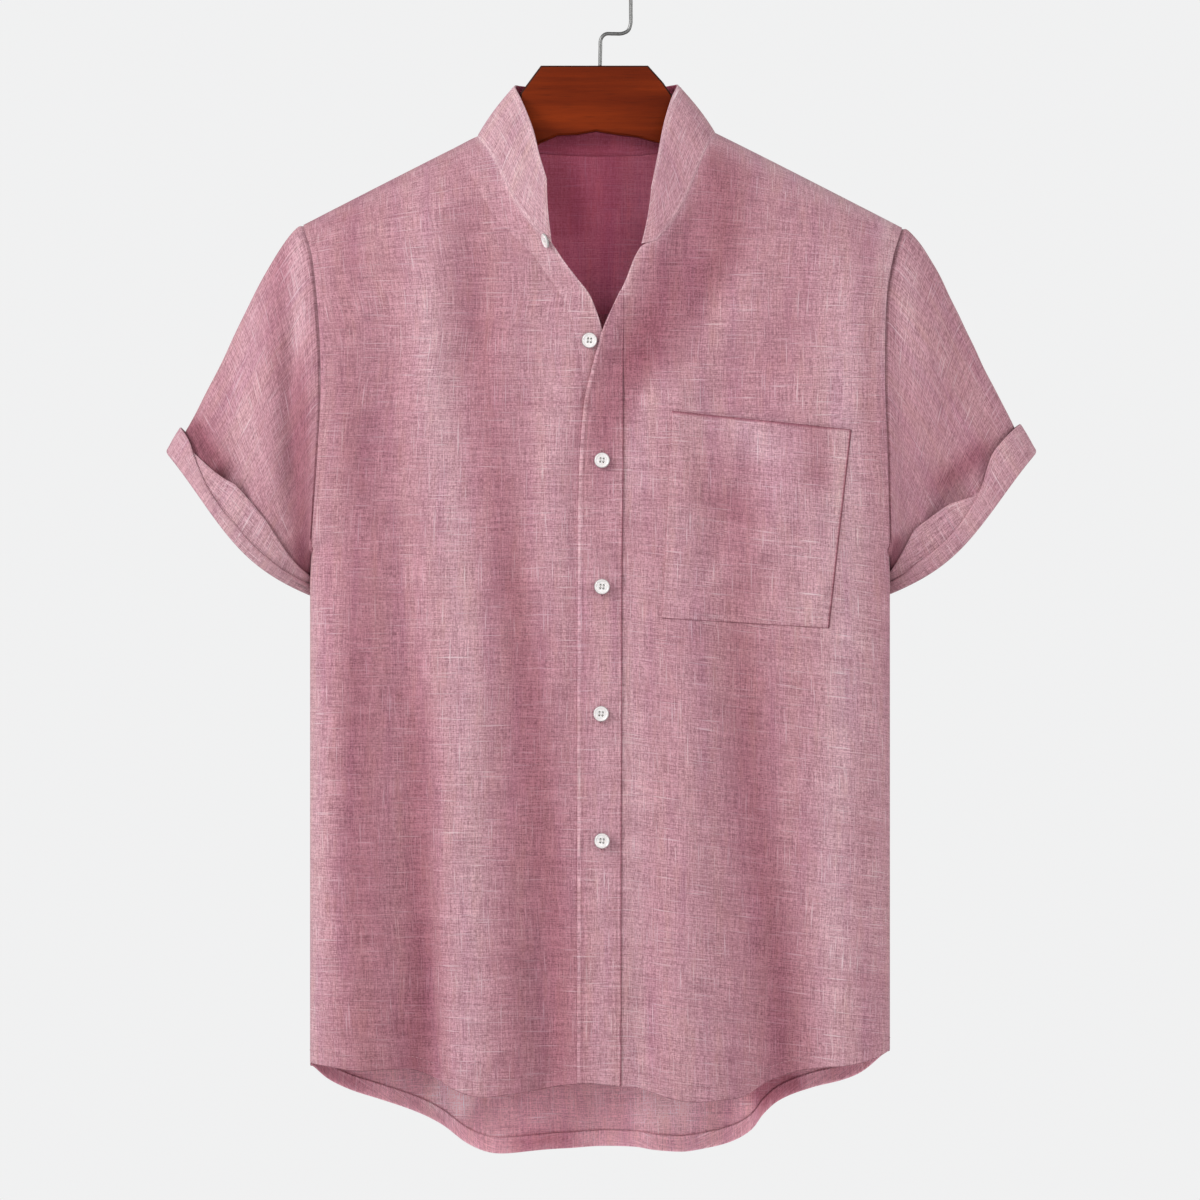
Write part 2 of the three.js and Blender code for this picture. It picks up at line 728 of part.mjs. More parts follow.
// Point of a sleeve at a turn round it and a part of the way from the armhole to its folded end.
function sleevePoint(side, turn, along) {
  const end = side < 0 ? CUFF_RIGHT : CUFF_LEFT;
  const down = (1 - Math.cos(turn)) / 2;
  const tip = meetSide(shoulderZ, side);
  const z = shoulderZ(tip) - ARMHOLE_DROP * down;
  const start = V(edgeX(side, z) + side * ARMHOLE_EASE, -ARMHOLE_DEPTH * Math.sin(turn), z);
  const outer = V(...end.outer);
  const inner = V(...end.inner);
  const axis = V(...end.axis).normalize();
  const stop = outer.clone().lerp(inner, down).add(V(0, -end.depth * Math.sin(turn), 0));
  stop.addScaledVector(axis, CUFF_BOW * Math.sin(Math.PI * down ** CUFF_BOW_SKEW));
  const reach = lerp(SLEEVE_HEAD_REACH, SLEEVE_FOOT_REACH, down);
  const first = start.clone().add(V(side * reach, 0, -SLEEVE_HEAD_DROP * (1 - down)));
  const second = stop.clone().addScaledVector(axis, -lerp(CUFF_PULL_TOP, CUFF_PULL_FOOT, down));
  const a = 1 - along;
  return start.multiplyScalar(a ** 3).addScaledVector(first, 3 * a * a * along)
    .addScaledVector(second, 3 * a * along * along).addScaledVector(stop, along ** 3);
}

// Turns round a sleeve, starting at its top.
function turns(side) {
  return Array.from({ length: CELLS.ring }, (_, j) => side * j / CELLS.ring * 2 * Math.PI);
}

// Sleeve from its armhole to the folded end.
function sleeve(side) {
  const rows = [];
  for (let i = 0; i <= CELLS.sleeve; i += 1) {
    rows.push(turns(side).map((turn) => sleevePoint(side, turn, i / CELLS.sleeve)));
  }
  return wall(rows, WALL, { ring: true });
}

// Place along the sleeve that lies a distance up from its end.
function upFromEnd(side, turn, distance) {
  let along = 1;
  let gone = 0;
  while (gone < distance && along > 0.1) {
    gone += sleevePoint(side, turn, along).distanceTo(sleevePoint(side, turn, along - 0.01));
    along -= 0.01;
  }
  return along;
}

// Cuff: the sleeve's end turned up and standing a little away from it.
function cuff(side) {
  const end = side < 0 ? CUFF_RIGHT : CUFF_LEFT;
  const axis = V(...end.axis).normalize();
  const long = V(...end.outer).sub(V(...end.inner)).normalize();
  const step = 0.02;
  const rows = [];
  for (let i = 0; i <= CELLS.cuff; i += 1) {
    rows.push(turns(side).map((turn) => {
      const down = (1 - Math.cos(turn)) / 2;
      const width = lerp(CUFF_OUTER_WIDTH, CUFF_INNER_WIDTH, down);
      const along = upFromEnd(side, turn, width * (1 - i / CELLS.cuff));
      const p = sleevePoint(side, turn, along);
      const beside = sleevePoint(side, turn - side * step, along);
      const across = sleevePoint(side, turn + side * step, along).sub(beside);
      const way = sleevePoint(side, turn, along + step).sub(sleevePoint(side, turn, along - step));
      p.addScaledVector(across.cross(way).normalize(), CUFF_CLEAR + CUFF_INNER_CLEAR * down ** 2);
      p.addScaledVector(long, CUFF_FLARE * Math.max(Math.cos(turn), 0) ** 3);
      return p.addScaledVector(axis, CUFF_DROP);
    }));
  }
  return wall(rows, CUFF_WALL, { ring: true });
}

// Button with a raised rim, facing +Y.
function buttonGeometry() {
  const half = BUTTON_THICK / 2;
  const profile = [
    [0, -half], [BUTTON_RADIUS * 0.7, -half], [BUTTON_RADIUS, -half * 0.2], [BUTTON_RADIUS, half * 0.5],
    [BUTTON_RADIUS - BUTTON_RIM / 2, half], [BUTTON_RADIUS - BUTTON_RIM, half],
    [BUTTON_RADIUS - BUTTON_RIM * 1.6, half * 0.4], [0, half * 0.4],
  ];
  return new THREE.LatheGeometry(profile.map(([r, h]) => new THREE.Vector2(r, h)), CELLS.button);
}

// Middle and facing of a button. One leans on the collar's corner, and the others lie flat on their cloth.
function buttonPlace(place) {
  const lift = WALL / 2 + BUTTON_CLEAR + BUTTON_THICK / 2;
  if (place.at) return { face: V(...place.face).normalize(), at: V(...place.at) };
  const side = place.on === 'front' ? -1 : 1;
  const layers = place.on === 'placket' ? LAYER : 0;
  const near = (dx, dz) => V(place.x + dx, frontY(place.x + dx, place.z + dz, side) - layers, place.z + dz);
  const reach = BUTTON_RADIUS;
  const face = near(reach, 0).sub(near(-reach, 0)).cross(near(0, reach).sub(near(0, -reach))).normalize();
  return { face, at: near(0, 0).addScaledVector(face, lift) };
}

// Board of the hanger: its arms carry the shoulders.
function boardGeometry() {
  const mirrored = (points) => points.map(([x, z]) => [-x, z]).reverse();
  const armTop = BOARD_ARM_TOP.map((x) => [x, shoulderZ(x) - BOARD_SEAT]);
  const right = [...armTop.slice().reverse(), ...BOARD_ARM_END, ...BOARD_UNDER];
  const outline = [...BOARD_NECK, ...right, ...BOARD_ARCH, ...mirrored(right)];
  const shape = new THREE.Shape(outline.map(([x, z]) => new THREE.Vector2(x, z)));
  const geometry = new THREE.ExtrudeGeometry(shape, {
    depth: BOARD_THICK - 2 * BOARD_BEVEL,
    bevelThickness: BOARD_BEVEL,
    bevelSize: BOARD_BEVEL,
    bevelOffset: -BOARD_BEVEL,
    bevelSegments: 1,
  });
  geometry.translate(0, 0, BOARD_BEVEL - BOARD_THICK / 2);
  return geometry.rotateX(Math.PI / 2);
}

// Wire hook, bent over the top and down the other side.
function hookGeometry() {
  const points = HOOK_SHANK.map(([x, z]) => V(x, 0, z));
  for (let degrees = 0; degrees <= HOOK_END_DEGREES; degrees += 15) {
    const turn = THREE.MathUtils.degToRad(degrees);
    points.push(V(HOOK_BEND * Math.cos(turn), 0, HOOK_WIRE - HOOK_BEND * (1 - Math.sin(turn))));
  }
  const wire = new THREE.Shape().absarc(0, 0, HOOK_WIRE, 0, 2 * Math.PI);
  return new THREE.ExtrudeGeometry(wire, {
    steps: CELLS.hookSteps,
    curveSegments: CELLS.wire,
    extrudePath: new THREE.CatmullRomCurve3(points, false, 'centripetal'),
  });
}

// Named mesh with a material of its own.
function piece(name, geometry, look) {
  const mesh = new THREE.Mesh(geometry, new THREE.MeshStandardMaterial(look));
  mesh.name = name;
  return mesh;
}

const rightPoints = frontRightGrid();
const leftPoints = frontLeftGrid();
const yokePoints = yokeGrid();
const collarPoints = collarGrid(rightPoints, leftPoints, yokePoints);
const rightNormal = frontNormal(rightPoints, -1, 0);
const leftNormal = frontNormal(leftPoints, 1, leftPoints[0].length - 1);

const cloth = new THREE.Group();
cloth.add(
  piece('front_right', wall(rightPoints, WALL, { normal: rightNormal }), LINEN),
  piece('front_left', wall(leftPoints, WALL, { normal: leftNormal }), LINEN),
  piece('placket', placket(leftPoints), LINEN),
  piece('pocket', pocket(leftPoints), LINEN),
  piece('back', back(), LINEN),
  piece('back_yoke', yoke(yokePoints), LINEN),
  piece('collar', wall(collarPoints, WALL), LINEN),
  piece('sleeve_right', sleeve(-1), LINEN),
  piece('sleeve_left', sleeve(1), LINEN),
  piece('cuff_right', cuff(-1), LINEN),
  piece('cuff_left', cuff(1), LINEN),
);

const buttons = new THREE.Group();
BUTTONS.forEach((place) => {
  const mesh = piece(place.name, buttonGeometry(), SHELL_WHITE);
  const { face, at } = buttonPlace(place);
  mesh.position.copy(at);
  mesh.quaternion.setFromUnitVectors(V(0, 1, 0), face);
  buttons.add(mesh);
});

const hanger = new THREE.Group();
hanger.add(piece('hanger_board', boardGeometry(), DARK_WOOD), piece('hanger_hook', hookGeometry(), STEEL));

const shirt = new THREE.Group();
shirt.add(cloth, buttons, hanger);

export default shirt;
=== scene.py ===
"""Mandarin collar shirt on a wooden hanger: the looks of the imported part."""
import math

import bpy
import numpy as np
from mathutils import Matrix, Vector


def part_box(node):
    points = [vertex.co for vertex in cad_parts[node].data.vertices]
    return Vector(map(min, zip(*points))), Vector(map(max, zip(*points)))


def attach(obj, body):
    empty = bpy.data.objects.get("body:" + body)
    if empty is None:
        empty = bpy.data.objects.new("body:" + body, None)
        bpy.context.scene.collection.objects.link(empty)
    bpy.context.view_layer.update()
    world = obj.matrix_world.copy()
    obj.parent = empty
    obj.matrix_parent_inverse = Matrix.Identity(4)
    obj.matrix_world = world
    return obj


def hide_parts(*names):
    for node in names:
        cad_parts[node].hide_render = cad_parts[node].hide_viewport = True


# Shape tables are in millimetres, in the part's own frame. Meshes are made in metres.
MM = 0.001
CLOTH = 0.7
LAYER = 1.6

# Body
ARMPIT = -440
FULLNESS = 2.6
SHOULDER_TOP = -76
SHOULDER_SLOPE = 0.519
SHOULDER_EASE = 30
SHOULDER_ROUND = 110
ARMHOLE_DEPTH = 38
ARMHOLE_DROP = 247
ARMHOLE_SOFT = 1.2
ARMHOLE_EASE = 1.5
ARMHOLE_REACH = 215
ARMHOLE_SEARCH = 25
YOKE_SEAM = -256
SEAM_GAP = 0.25
NECK_FOLD_FOOT = -420

DEPTH_FRONT = [(-900, 52), (-640, 51), (-440, 50), (-270, 47), (-90, 46)]
DEPTH_BACK = [(-900, 50), (-640, 49), (-440, 47), (-270, 46), (-90, 46)]
ARMHOLE_RIGHT = [(-460, 217), (-440, 216), (-398, 212.5), (-353, 209), (-323, 207.5), (-278, 208.2),
                 (-220, 214), (-193, 222)]
ARMHOLE_LEFT = [(-460, 217), (-440, 216.6), (-402, 215), (-361, 213.5), (-308, 211.5), (-248, 213),
                (-215, 219), (-194, 226.5)]
EDGE_RIGHT = [(-900, 11), (-383, 11), (-353, 10.5), (-323, 8.5), (-293, 5), (-269, 0.5), (-248, -7.5),
              (-235.6, -17), (-224, -26), (-209, -36.5), (-198, -47), (-179.4, -61), (-145.6, -78),
              (-125.8, -91.5)]
EDGE_LEFT = [(-900, -15.6), (-473, -15), (-383, -14.2), (-353, -12.7), (-323, -9.7), (-297, -3.7),
             (-272, 3), (-237, 18.6), (-210.8, 30.6), (-206.4, 41), (-179.4, 60), (-145.6, 74.5),
             (-121.5, 86)]
LIP = [(-270, 0), (-258, 2), (-240, 8), (-210, 12), (-180, 6), (-150, 0)]
LIP_WIDTH = 20
FRONT_HEM = [(-217, -819), (-204, -820), (-181, -823), (-157, -822), (-136, -823), (-95, -840),
             (-67, -839.5), (-46, -836.5), (-15, -831), (15, -833), (28, -834), (53, -841.5),
             (70, -844), (91, -843), (107, -841), (124, -831), (138, -826), (153, -822), (190, -818),
             (206, -814), (217, -809.5)]
BACK_HEM = [(-217, -822), (-206, -833), (-189, -842), (-168, -849.5), (-143, -859.5), (-119, -871.5),
            (-102, -883.5), (-88, -889.5), (-76, -891.5), (-51, -891), (-25, -889), (0, -886),
            (26, -887.5), (42, -891), (62, -892), (77, -889), (100, -882), (115, -873), (123, -862.5),
            (135, -852.5), (161, -842), (184, -835), (199, -827.5), (217, -811)]
BACK_NECK = [(-92, -125.8), (-80, -129.5), (-60, -132), (-30, -134), (0, -134.5), (30, -134),
             (60, -130), (76, -125.5), (86, -121.5)]

# Fold lines down the cloth: x and how far out they stand at four heights
FOLD_HEIGHTS = [-170, -350, -600, -830]
FOLD_GAIN = 1.45
CREASE_GAIN = 1.6
# Painted light and shade along the folds: change of tone per mm that a fold or a crease stands out
FOLD_PAINTED_SHADE = 0.012
CREASE_PAINTED_SHADE = 0.035
FRONT_FOLDS = [
    ([-226, -214, -218, -218], [0, 0, 0, 0]),
    ([-205, -196, -203, -205], [0, 0.5, 1.5, 2]),
    ([-165, -155, -142, -127], [0, -1, -6, -12]),
    ([-135, -130, -113, -104], [1, 2.5, 5, 3]),
    ([-100, -78, -54, -36], [-1, -2.5, -5, -9]),
    ([-40, -20, -18, -17.5], [0, 0, 0, 0]),
    ([-5, 16, 17, 17.5], [0, 0, 0, 0]),
    ([5, 22, 26, 28], [0, -0.3, -0.8, -1.2]),
    ([40, 56, 62, 60], [0, 2, 4, 5]),
    ([90, 86, 106, 142], [-2, -3, -6, -12]),
    ([160, 152, 183, 190], [1, 2.5, 3, 1]),
    ([228, 215, 218, 218], [0, 0, 0, 0]),
]
BACK_FOLDS = [
    ([-226, -214, -218, -218], [0, 0, 0, 0]),
    ([-190, -185, -180, -175], [0, -1, -3, -5]),
    ([-140, -140, -136, -130], [0, 1, 4, 7]),
    ([-100, -95, -90, -80], [0, -1, -4, -8]),
    ([-55, -50, -45, -40], [0, 1, 3, 5]),
    ([-10, -5, 0, 0], [0, -1, -4, -7]),
    ([45, 45, 48, 50], [0, 1, 3, 6]),
    ([90, 92, 96, 102], [0, -1, -4, -8]),
    ([140, 142, 145, 150], [0, 1, 3, 5]),
    ([190, 186, 190, 192], [0, -1, -2, -3]),
    ([228, 215, 218, 218], [0, 0, 0, 0]),
]

# Soft troughs and ridges: points [x, z], width, height (out is plus)
FRONT_CREASES = [
    ([(-60, -215), (-78, -330), (-70, -470)], 16, 2.2),
    ([(-98, -150), (-92, -250), (-88, -340)], 14, -2.0),
    ([(-120, -170), (-128, -260), (-120, -420)], 13, 1.6),
    ([(-160, -190), (-168, -300), (-176, -430)], 16, -1.4),
    ([(-30, -290), (-42, -400), (-50, -520)], 14, 1.4),
    ([(-22, -330), (-20, -460), (-24, -640)], 8, -1.0),
    ([(-198, -470), (-206, -600), (-204, -800)], 10, 1.5),
    ([(-180, -440), (-184, -600), (-178, -790)], 12, -1.8),
    ([(84, -130), (69, -188), (45, -236), (21, -278), (-2, -318), (-8, -380)], 15, -4.0),
    ([(60, -170), (44, -240), (26, -282)], 9, 1.2),
    ([(118, -190), (96, -270), (60, -330)], 16, 2.0),
    ([(150, -210), (140, -280), (110, -325)], 16, -1.5),
    ([(190, -200), (188, -290), (180, -380)], 11, 2.0),
    ([(203, -230), (201, -330), (205, -420)], 6, -1.4),
    ([(120, -352), (104, -400), (80, -440)], 12, -1.6),
    ([(150, -370), (126, -420), (104, -470)], 14, 1.5),
    ([(176, -400), (150, -450), (140, -480)], 10, -1.3),
    ([(30, -380), (34, -520), (36, -700)], 9, 1.2),
    ([(204, -480), (208, -640), (204, -790)], 9, 1.4),
]
BACK_CREASES = [
    ([(-150, -270), (-160, -400), (-168, -560)], 15, 2.0),
    ([(-110, -280), (-118, -420), (-120, -600)], 13, -1.6),
    ([(-70, -300), (-64, -460), (-66, -640)], 14, 1.4),
    ([(20, -290), (18, -460), (24, -660)], 13, 1.8),
    ([(70, -280), (74, -440), (70, -600)], 14, -1.8),
    ([(120, -270), (128, -420), (122, -580)], 14, 2.0),
    ([(170, -280), (176, -420), (170, -600)], 13, -1.6),
    ([(-190, -300), (-150, -240), (-100, -220)], 14, 1.6),
    ([(190, -300), (150, -240), (100, -220)], 14, 1.6),
]
SLEEVE_RIGHT_CREASES = [
    ([(-226, -235), (-231, -320), (-226, -430)], 7, -5.0),
    ([(-240, -225), (-250, -320), (-240, -430)], 9, 3.2),
    ([(-266, -250), (-280, -330), (-262, -420)], 9, -2.2),
    ([(-290, -375), (-278, -392), (-262, -402)], 12, -8.0),
    ([(-250, -440), (-238, -450), (-228, -452)], 8, -3.0),
]
SLEEVE_LEFT_CREASES = [
    ([(220, -230), (222, -320), (224, -430)], 6, -2.6),
    ([(236, -230), (246, -330), (246, -420)], 12, 2.0),
    ([(262, -240), (284, -320), (290, -350)], 12, -1.4),
    ([(284, -388), (262, -398), (240, -412)], 11, -6.5),
    ([(232, -430), (240, -436), (250, -425)], 8, -2.5),
]

# Painted light and shade on the cloth: points [x, z], width, change of tone
FRONT_PAINTED_SHADING = [
    ([(-166, -260), (-178, -560), (-176, -1000)], 22, -0.16),
    ([(-150, -460), (-132, -600), (-133, -720), (-140, -1000)], 14, -0.22),
    ([(-184, -120), (-191, -270), (-184, -440)], 12, -0.1),
    ([(-86, -150), (-82, -271), (-79, -368), (-60, -488), (-45, -608), (-28, -743), (-18, -1000)], 15, -0.21),
    ([(-58, -520), (-60, -700), (-66, -1000)], 17, -0.08),
    ([(-131, -60), (-131, -241), (-112, -368), (-101, -488), (-94, -638), (-98, -1000)], 15, 0.13),
    ([(-216, -330), (-215, -600), (-215, -1000)], 8, 0.16),
    ([(-42, -130), (-34, -270), (-27, -390), (-26, -560)], 19, 0.1),
    ([(56, -70), (92, -160), (92, -212), (62, -254), (37, -288), (12, -335), (-16, -430)], 19, -0.27),
    ([(62, -180), (40, -256), (22, -320)], 12, -0.14),
    ([(52, -290), (26, -348), (26, -420)], 13, 0.2),
    ([(213, -130), (216, -240), (212, -350)], 9, 0.2),
    ([(166, -120), (178, -323), (187, -428), (181, -548), (172, -668), (176, -1000)], 17, 0.18),
    ([(27, -390), (22, -540), (26, -640), (27, -740), (30, -1000)], 11, 0.14),
    ([(4, -400), (1, -600), (1, -1000)], 9, 0.1),
    ([(50, -318), (108, -348), (160, -380)], 15, 0.12),
    ([(98, -400), (112, -593), (121, -668), (132, -743), (150, -1000)], 14, -0.18),
    ([(30, -105), (150, -155), (250, -204)], 11, 0.17),
]
BACK_PAINTED_SHADING = [
    ([(-165, -200), (-170, -500), (-150, -1000)], 18, -0.15),
    ([(-118, -180), (-112, -500), (-120, -1000)], 15, 0.13),
    ([(-60, -200), (-70, -500), (-64, -1000)], 16, -0.16),
    ([(0, -180), (6, -500), (-4, -1000)], 16, 0.12),
    ([(60, -200), (66, -500), (84, -1000)], 17, -0.17),
    ([(120, -180), (124, -500), (128, -1000)], 14, 0.13),
    ([(170, -200), (168, -500), (160, -1000)], 15, -0.14),
]
# Painted light and shadow inside the neck, on the yoke's and the collar's inside
YOKE_INSIDE_PAINTED_SHADING = [
    ([(22, -80), (36, -150), (34, -215), (4, -300)], 16, 0.24),
    ([(-75, -80), (-45, -104), (-14, -118)], 13, -0.32),
    ([(-40, -140), (-10, -200)], 16, -0.12),
]
# Painted light and shade on the inside of the back's hem
HEM_INSIDE_PAINTED_SHADING = [
    ([(-130, -835), (-92, -860)], 18, 0.4),
    ([(12, -864), (90, -860)], 20, 0.28),
    ([(-75, -888), (-40, -884), (-8, -886)], 9, -0.25),
    ([(-245, -812), (-195, -833), (-160, -848)], 10, -0.22),
    ([(108, -856), (135, -841), (160, -834)], 14, -0.45),
    ([(165, -832), (215, -822)], 9, -0.12),
]
# Painted shadow in the hollows above the cuffs and beside the armholes, and some painted light
SLEEVE_PAINTED_SHADING = {
    -1: [
        ([(-312, -330), (-297, -360), (-276, -392)], 10, -0.5),
        ([(-229, -420), (-223, -446), (-216, -466)], 6, -0.1),
        ([(-223, -270), (-223, -360), (-222, -430), (-222, -520)], 9, -0.32),
        ([(-226, -170), (-225, -230), (-224, -310)], 7, 0.2),
        ([(-240, -190), (-240, -260), (-236, -340)], 8, -0.1),
        ([(-262, -200), (-264, -290), (-262, -420)], 14, 0.12),
    ],
    1: [
        ([(240, -396), (268, -376), (300, -350)], 9, -0.34),
        ([(224, -420), (220, -438), (217, -462)], 5, -0.35),
        ([(226, -190), (230, -260), (232, -330)], 10, 0.12),
    ],
}
# Painted light and shade on the pocket
POCKET_PAINTED_SHADING = [
    ([(150, -325), (164, -358), (160, -405)], 13, -0.17),
    ([(50, -366), (84, -392), (108, -412), (112, -450), (100, -492)], 14, -0.13),
    ([(100, -325), (118, -360), (126, -400)], 11, 0.1),
    ([(166, -390), (158, -445), (146, -500)], 13, 0.08),
]

# Pocket: x and z of the mouth's and the foot's first corner and their slope, and x of their other corner
POCKET_MOUTH = (53.4, -333.3, -0.104)
POCKET_FOOT = (45.9, -486.7, -0.06)
POCKET_SIDE = (170, 186.4)
POCKET_WIDE = 134
POCKET_HIGH = 153.4
POCKET_RISE = 153
POCKET_PLACES = [0, 0.7, 1.6, 2.4, 3.2, 5]
POCKET_MOUTH_PLACES = [135, 136, 137, 140, 144, 148, 151, 152.6, 153.4]

# Placket: the line of its inner edge, as [z, x]
PLACKET_LINE = [(-900, 15.4), (-470, 16.4), (-380, 17.2), (-240, 17.4)]
PLACKET_TOP = -243
PLACKET_WIDTH = 31
# Its turned-in edge: distance out from the front's edge and distance in front of it
PLACKET_FOLD = ((-7, -0.75), (-3, -0.8), (0.3, -0.8), (0.9, -0.55), (1.2, 0), (1.15, 0.6), (0.75, 1))

# Collar: its top edge, and where that passes from the right front to the yoke and to the left front
COLLAR_TOP = [
    (-39.5, -48, -162), (-45, -37, -143), (-50.5, -24, -121), (-59, -10, -99), (-64, 0, -88),
    (-60, 12, -87), (-47, 26, -87), (-26, 35, -87), (0, 38, -87), (24, 35, -87), (43, 26, -87),
    (55, 12, -86.5), (58, 0, -87.5), (54, -11, -97), (48, -23, -117), (43, -33, -143), (38, -41, -168),
]
COLLAR_STOPS = (0, 4, 12, 16)
COLLAR_PLACES = [0, 0.8, 2, 4, 7]
COLLAR_CELLS = 190
COLLAR_RISES = (8, 13, 18, 23, 28, 33, 38, 42)
COLLAR_MIDDLE = -2
COLLAR_BOW = 1.5
COLLAR_END_REACH = 2.8

# Sleeves and cuffs
SLEEVE_HEAD_REACH = 22
SLEEVE_HEAD_DROP = 9
SLEEVE_FOOT_REACH = -1
CUFF_PULL_TOP = 62
CUFF_PULL_FOOT = 4
CUFF_BOW = 11.5
CUFF_BOW_SKEW = 1.4
CUFF_TUCK = 1.1
CUFF_RADIUS = 70
# How much lighter the cuffs are painted
CUFF_PAINTED_LIGHT = {-1: 1.16, 1: 1.1}
CUFFS = {
    -1: {"outer": (-319.5, 6, -361), "inner": (-218, 19, -464), "depth": 29, "axis": (-0.55, 0.05, -0.83)},
    1: {"outer": (321.5, 6, -361), "inner": (218, 19, -463), "depth": 29, "axis": (0.55, 0.05, -0.83)},
}
# Width of the long turn and of the short turn over it, from the outer corner (0) to the inner one (1)
LONG_TURN = {
    -1: [(0, 9), (0.12, 12), (0.24, 16), (0.32, 20), (0.4, 25), (0.6, 26), (0.75, 20), (0.88, 13), (1, 9)],
    1: [(0, 9), (0.25, 10), (0.37, 13), (0.45, 19.5), (0.53, 26), (0.67, 30), (0.83, 31), (0.95, 27), (1, 22)],
}
SHORT_TURN = {
    -1: [(0, 17), (0.07, 15), (0.13, 10.5), (0.2, 7), (0.28, 4.6), (0.4, 3.8), (0.5, 5), (0.65, 4),
         (0.8, 3.4), (1, 3)],
    1: [(0, 20), (0.1, 22), (0.2, 22), (0.33, 13.5), (0.42, 10.5), (0.5, 9), (0.63, 7.5), (0.8, 7.5),
        (0.9, 5), (1, 4)],
}

BUTTONS = [
    ("button_1", -43, -196), ("button_2", -7.8, -281), ("button_3", 1.5, -370), ("button_4", 1.5, -463.5),
    ("button_5", 0.8, -557.5), ("button_6", 1.5, -651.5),
]
BUTTON_1_FACE = (-0.90, -0.28, -0.33)
BUTTON_RADIUS = 5.8
BUTTON_HOLE = 1.18
BUTTON_SIDES = 72
BUTTON_SPIN = 0.1

HOOK_WIRE = 1.35
HOOK_BEND = 23
HOOK_SHANK = [(0, -74), (0.3, -60), (0.8, -52.5), (4, -49), (10, -48.7), (16.5, -48.5), (21, -46.3),
              (22.9, -41.5), (23.1, -33)]
HOOK_END = 180
BOARD_FOOT = -112
BOARD_EDGE_FOOT = -108

# Rows and columns of the cloth's grids, and their distances from an edge
FINE = (1 - np.cos(np.pi * np.linspace(0, 1, 360))) / 2
ROWS = 200
ROUND_CELLS = 44
FRONT_CELLS = 66
BACK_CELLS = 136
YOKE_CELLS = 46
YOKE_SHOULDER_CELLS = 43
YOKE_NECK_CELLS = 59
FRONT_RISE = 610
BACK_RISE = 600
HEM_PLACES = [0, 0.8, 2.2, 4.6, 7.4, 9.2, 10, 10.8, 12.5, 15]
HEM_STITCH = 10
SEAM_PLACES = [0, 1.2, 3, 5.2, 6, 6.8, 9]
RIGHT_EDGE_PLACES = [0, 0.7, 2, 5, 10, 15, 20.2, 21, 21.8, 24]
LEFT_EDGE_PLACES = [0, 1, 3, 8, 15, 22, 30]
YOKE_PLACES = [0, 0.8, 1.6, 2.4, 4]
STITCH_PITCH = 3.1
STITCH_LENGTH = 2.3

# Looks and stage, in metres
LINEN = (0.425, 0.208, 0.251)
WOOD_GRAIN = (9.0, 60.0, 190.0)
FLOOR = -1.40
CAMERA = (0, -4.0, -0.47335)


# Shape

def smooth(t):
    u = np.clip(t, 0, 1)
    return u * u * (3 - 2 * u)


def mix(a, b, t):
    return a + (b - a) * t


def bell(at, middle, width):
    return np.exp(-((at - middle) / width) ** 2)


def unit(v):
    return v / np.linalg.norm(v, axis=-1, keepdims=True)


def run_along(line):
    """Distance along a line to each of its points."""
    return np.concatenate([[0], np.cumsum(np.linalg.norm(np.diff(line, axis=0), axis=1))])


def points_at(places, run, line):
    return np.stack([np.interp(places, run, line[:, k]) for k in range(3)], 1)


def read(rows, at):
    """Smooth line through rows of (key, value)."""
    keys = np.array([r[0] for r in rows], float)
    values = np.array([r[1] for r in rows], float)
    n = len(keys)
    low = np.maximum(np.arange(n) - 1, 0)
    high = np.minimum(np.arange(n) + 1, n - 1)
    slope = (values[high] - values[low]) / (keys[high] - keys[low])
    at = np.clip(np.asarray(at, float), keys[0], keys[-1])
    i = np.clip(np.searchsorted(keys, at, side="right") - 1, 0, n - 2)
    step = keys[i + 1] - keys[i]
    t = (at - keys[i]) / step
    t2 = t * t
    t3 = t2 * t
    return (values[i] * (2 * t3 - 3 * t2 + 1) + values[i + 1] * (3 * t2 - 2 * t3)
            + step * (slope[i] * (t3 - 2 * t2 + t) + slope[i + 1] * (t3 - t2)))


def shoulder_z(x):
    return SHOULDER_TOP - SHOULDER_SLOPE * np.hypot(x, SHOULDER_EASE)


def edge_x(side, z):
    return side * read(ARMHOLE_RIGHT if side < 0 else ARMHOLE_LEFT, z)


def fold_out(folds, x, z):
    h = FOLD_HEIGHTS
    k = (z < h[1]).astype(int) + (z < h[2]).astype(int)
    top = np.take(h, k)
    t = smooth((top - z) / (top - np.take(h, k + 1)))
    lines = [[mix(np.take(row, k), np.take(row, k + 1), t) for row in fold] for fold in folds]
    out = lines[0][1]
    for (xa, oa), (xb, ob) in zip(lines, lines[1:]):
        out = np.where(x > xa, mix(oa, ob, smooth((x - xa) / (xb - xa))), out)
    return out


def crease_out(creases, x, z):
    """How far the strokes of a table move the cloth, or change its tone."""
    total = np.zeros(np.broadcast(x, z).shape)
    for points, width, height in creases:
        p = np.array(points, float)
        lengths = np.hypot(*np.diff(p, axis=0).T)
        run = np.concatenate([[0], np.cumsum(lengths)])
        best = np.full(total.shape, 1e9)
        along = np.zeros(total.shape)
        for i, length in enumerate(lengths):
            d = (p[i + 1] - p[i]) / length
            t = np.clip((x - p[i, 0]) * d[0] + (z - p[i, 1]) * d[1], 0, length)
            away = np.hypot(x - p[i, 0] - d[0] * t, z - p[i, 1] - d[1] * t)
            nearer = away < best
            best = np.where(nearer, away, best)
            along = np.where(nearer, run[i] + t, along)
        part = along / run[-1]
        total += height * bell(best, 0, width) * smooth(part / 0.3) * smooth((1 - part) / 0.3)
    return total


def relief(x, z, back):
    return (fold_out(BACK_FOLDS if back else FRONT_FOLDS, x, z),
            crease_out(BACK_CREASES if back else FRONT_CREASES, x, z))


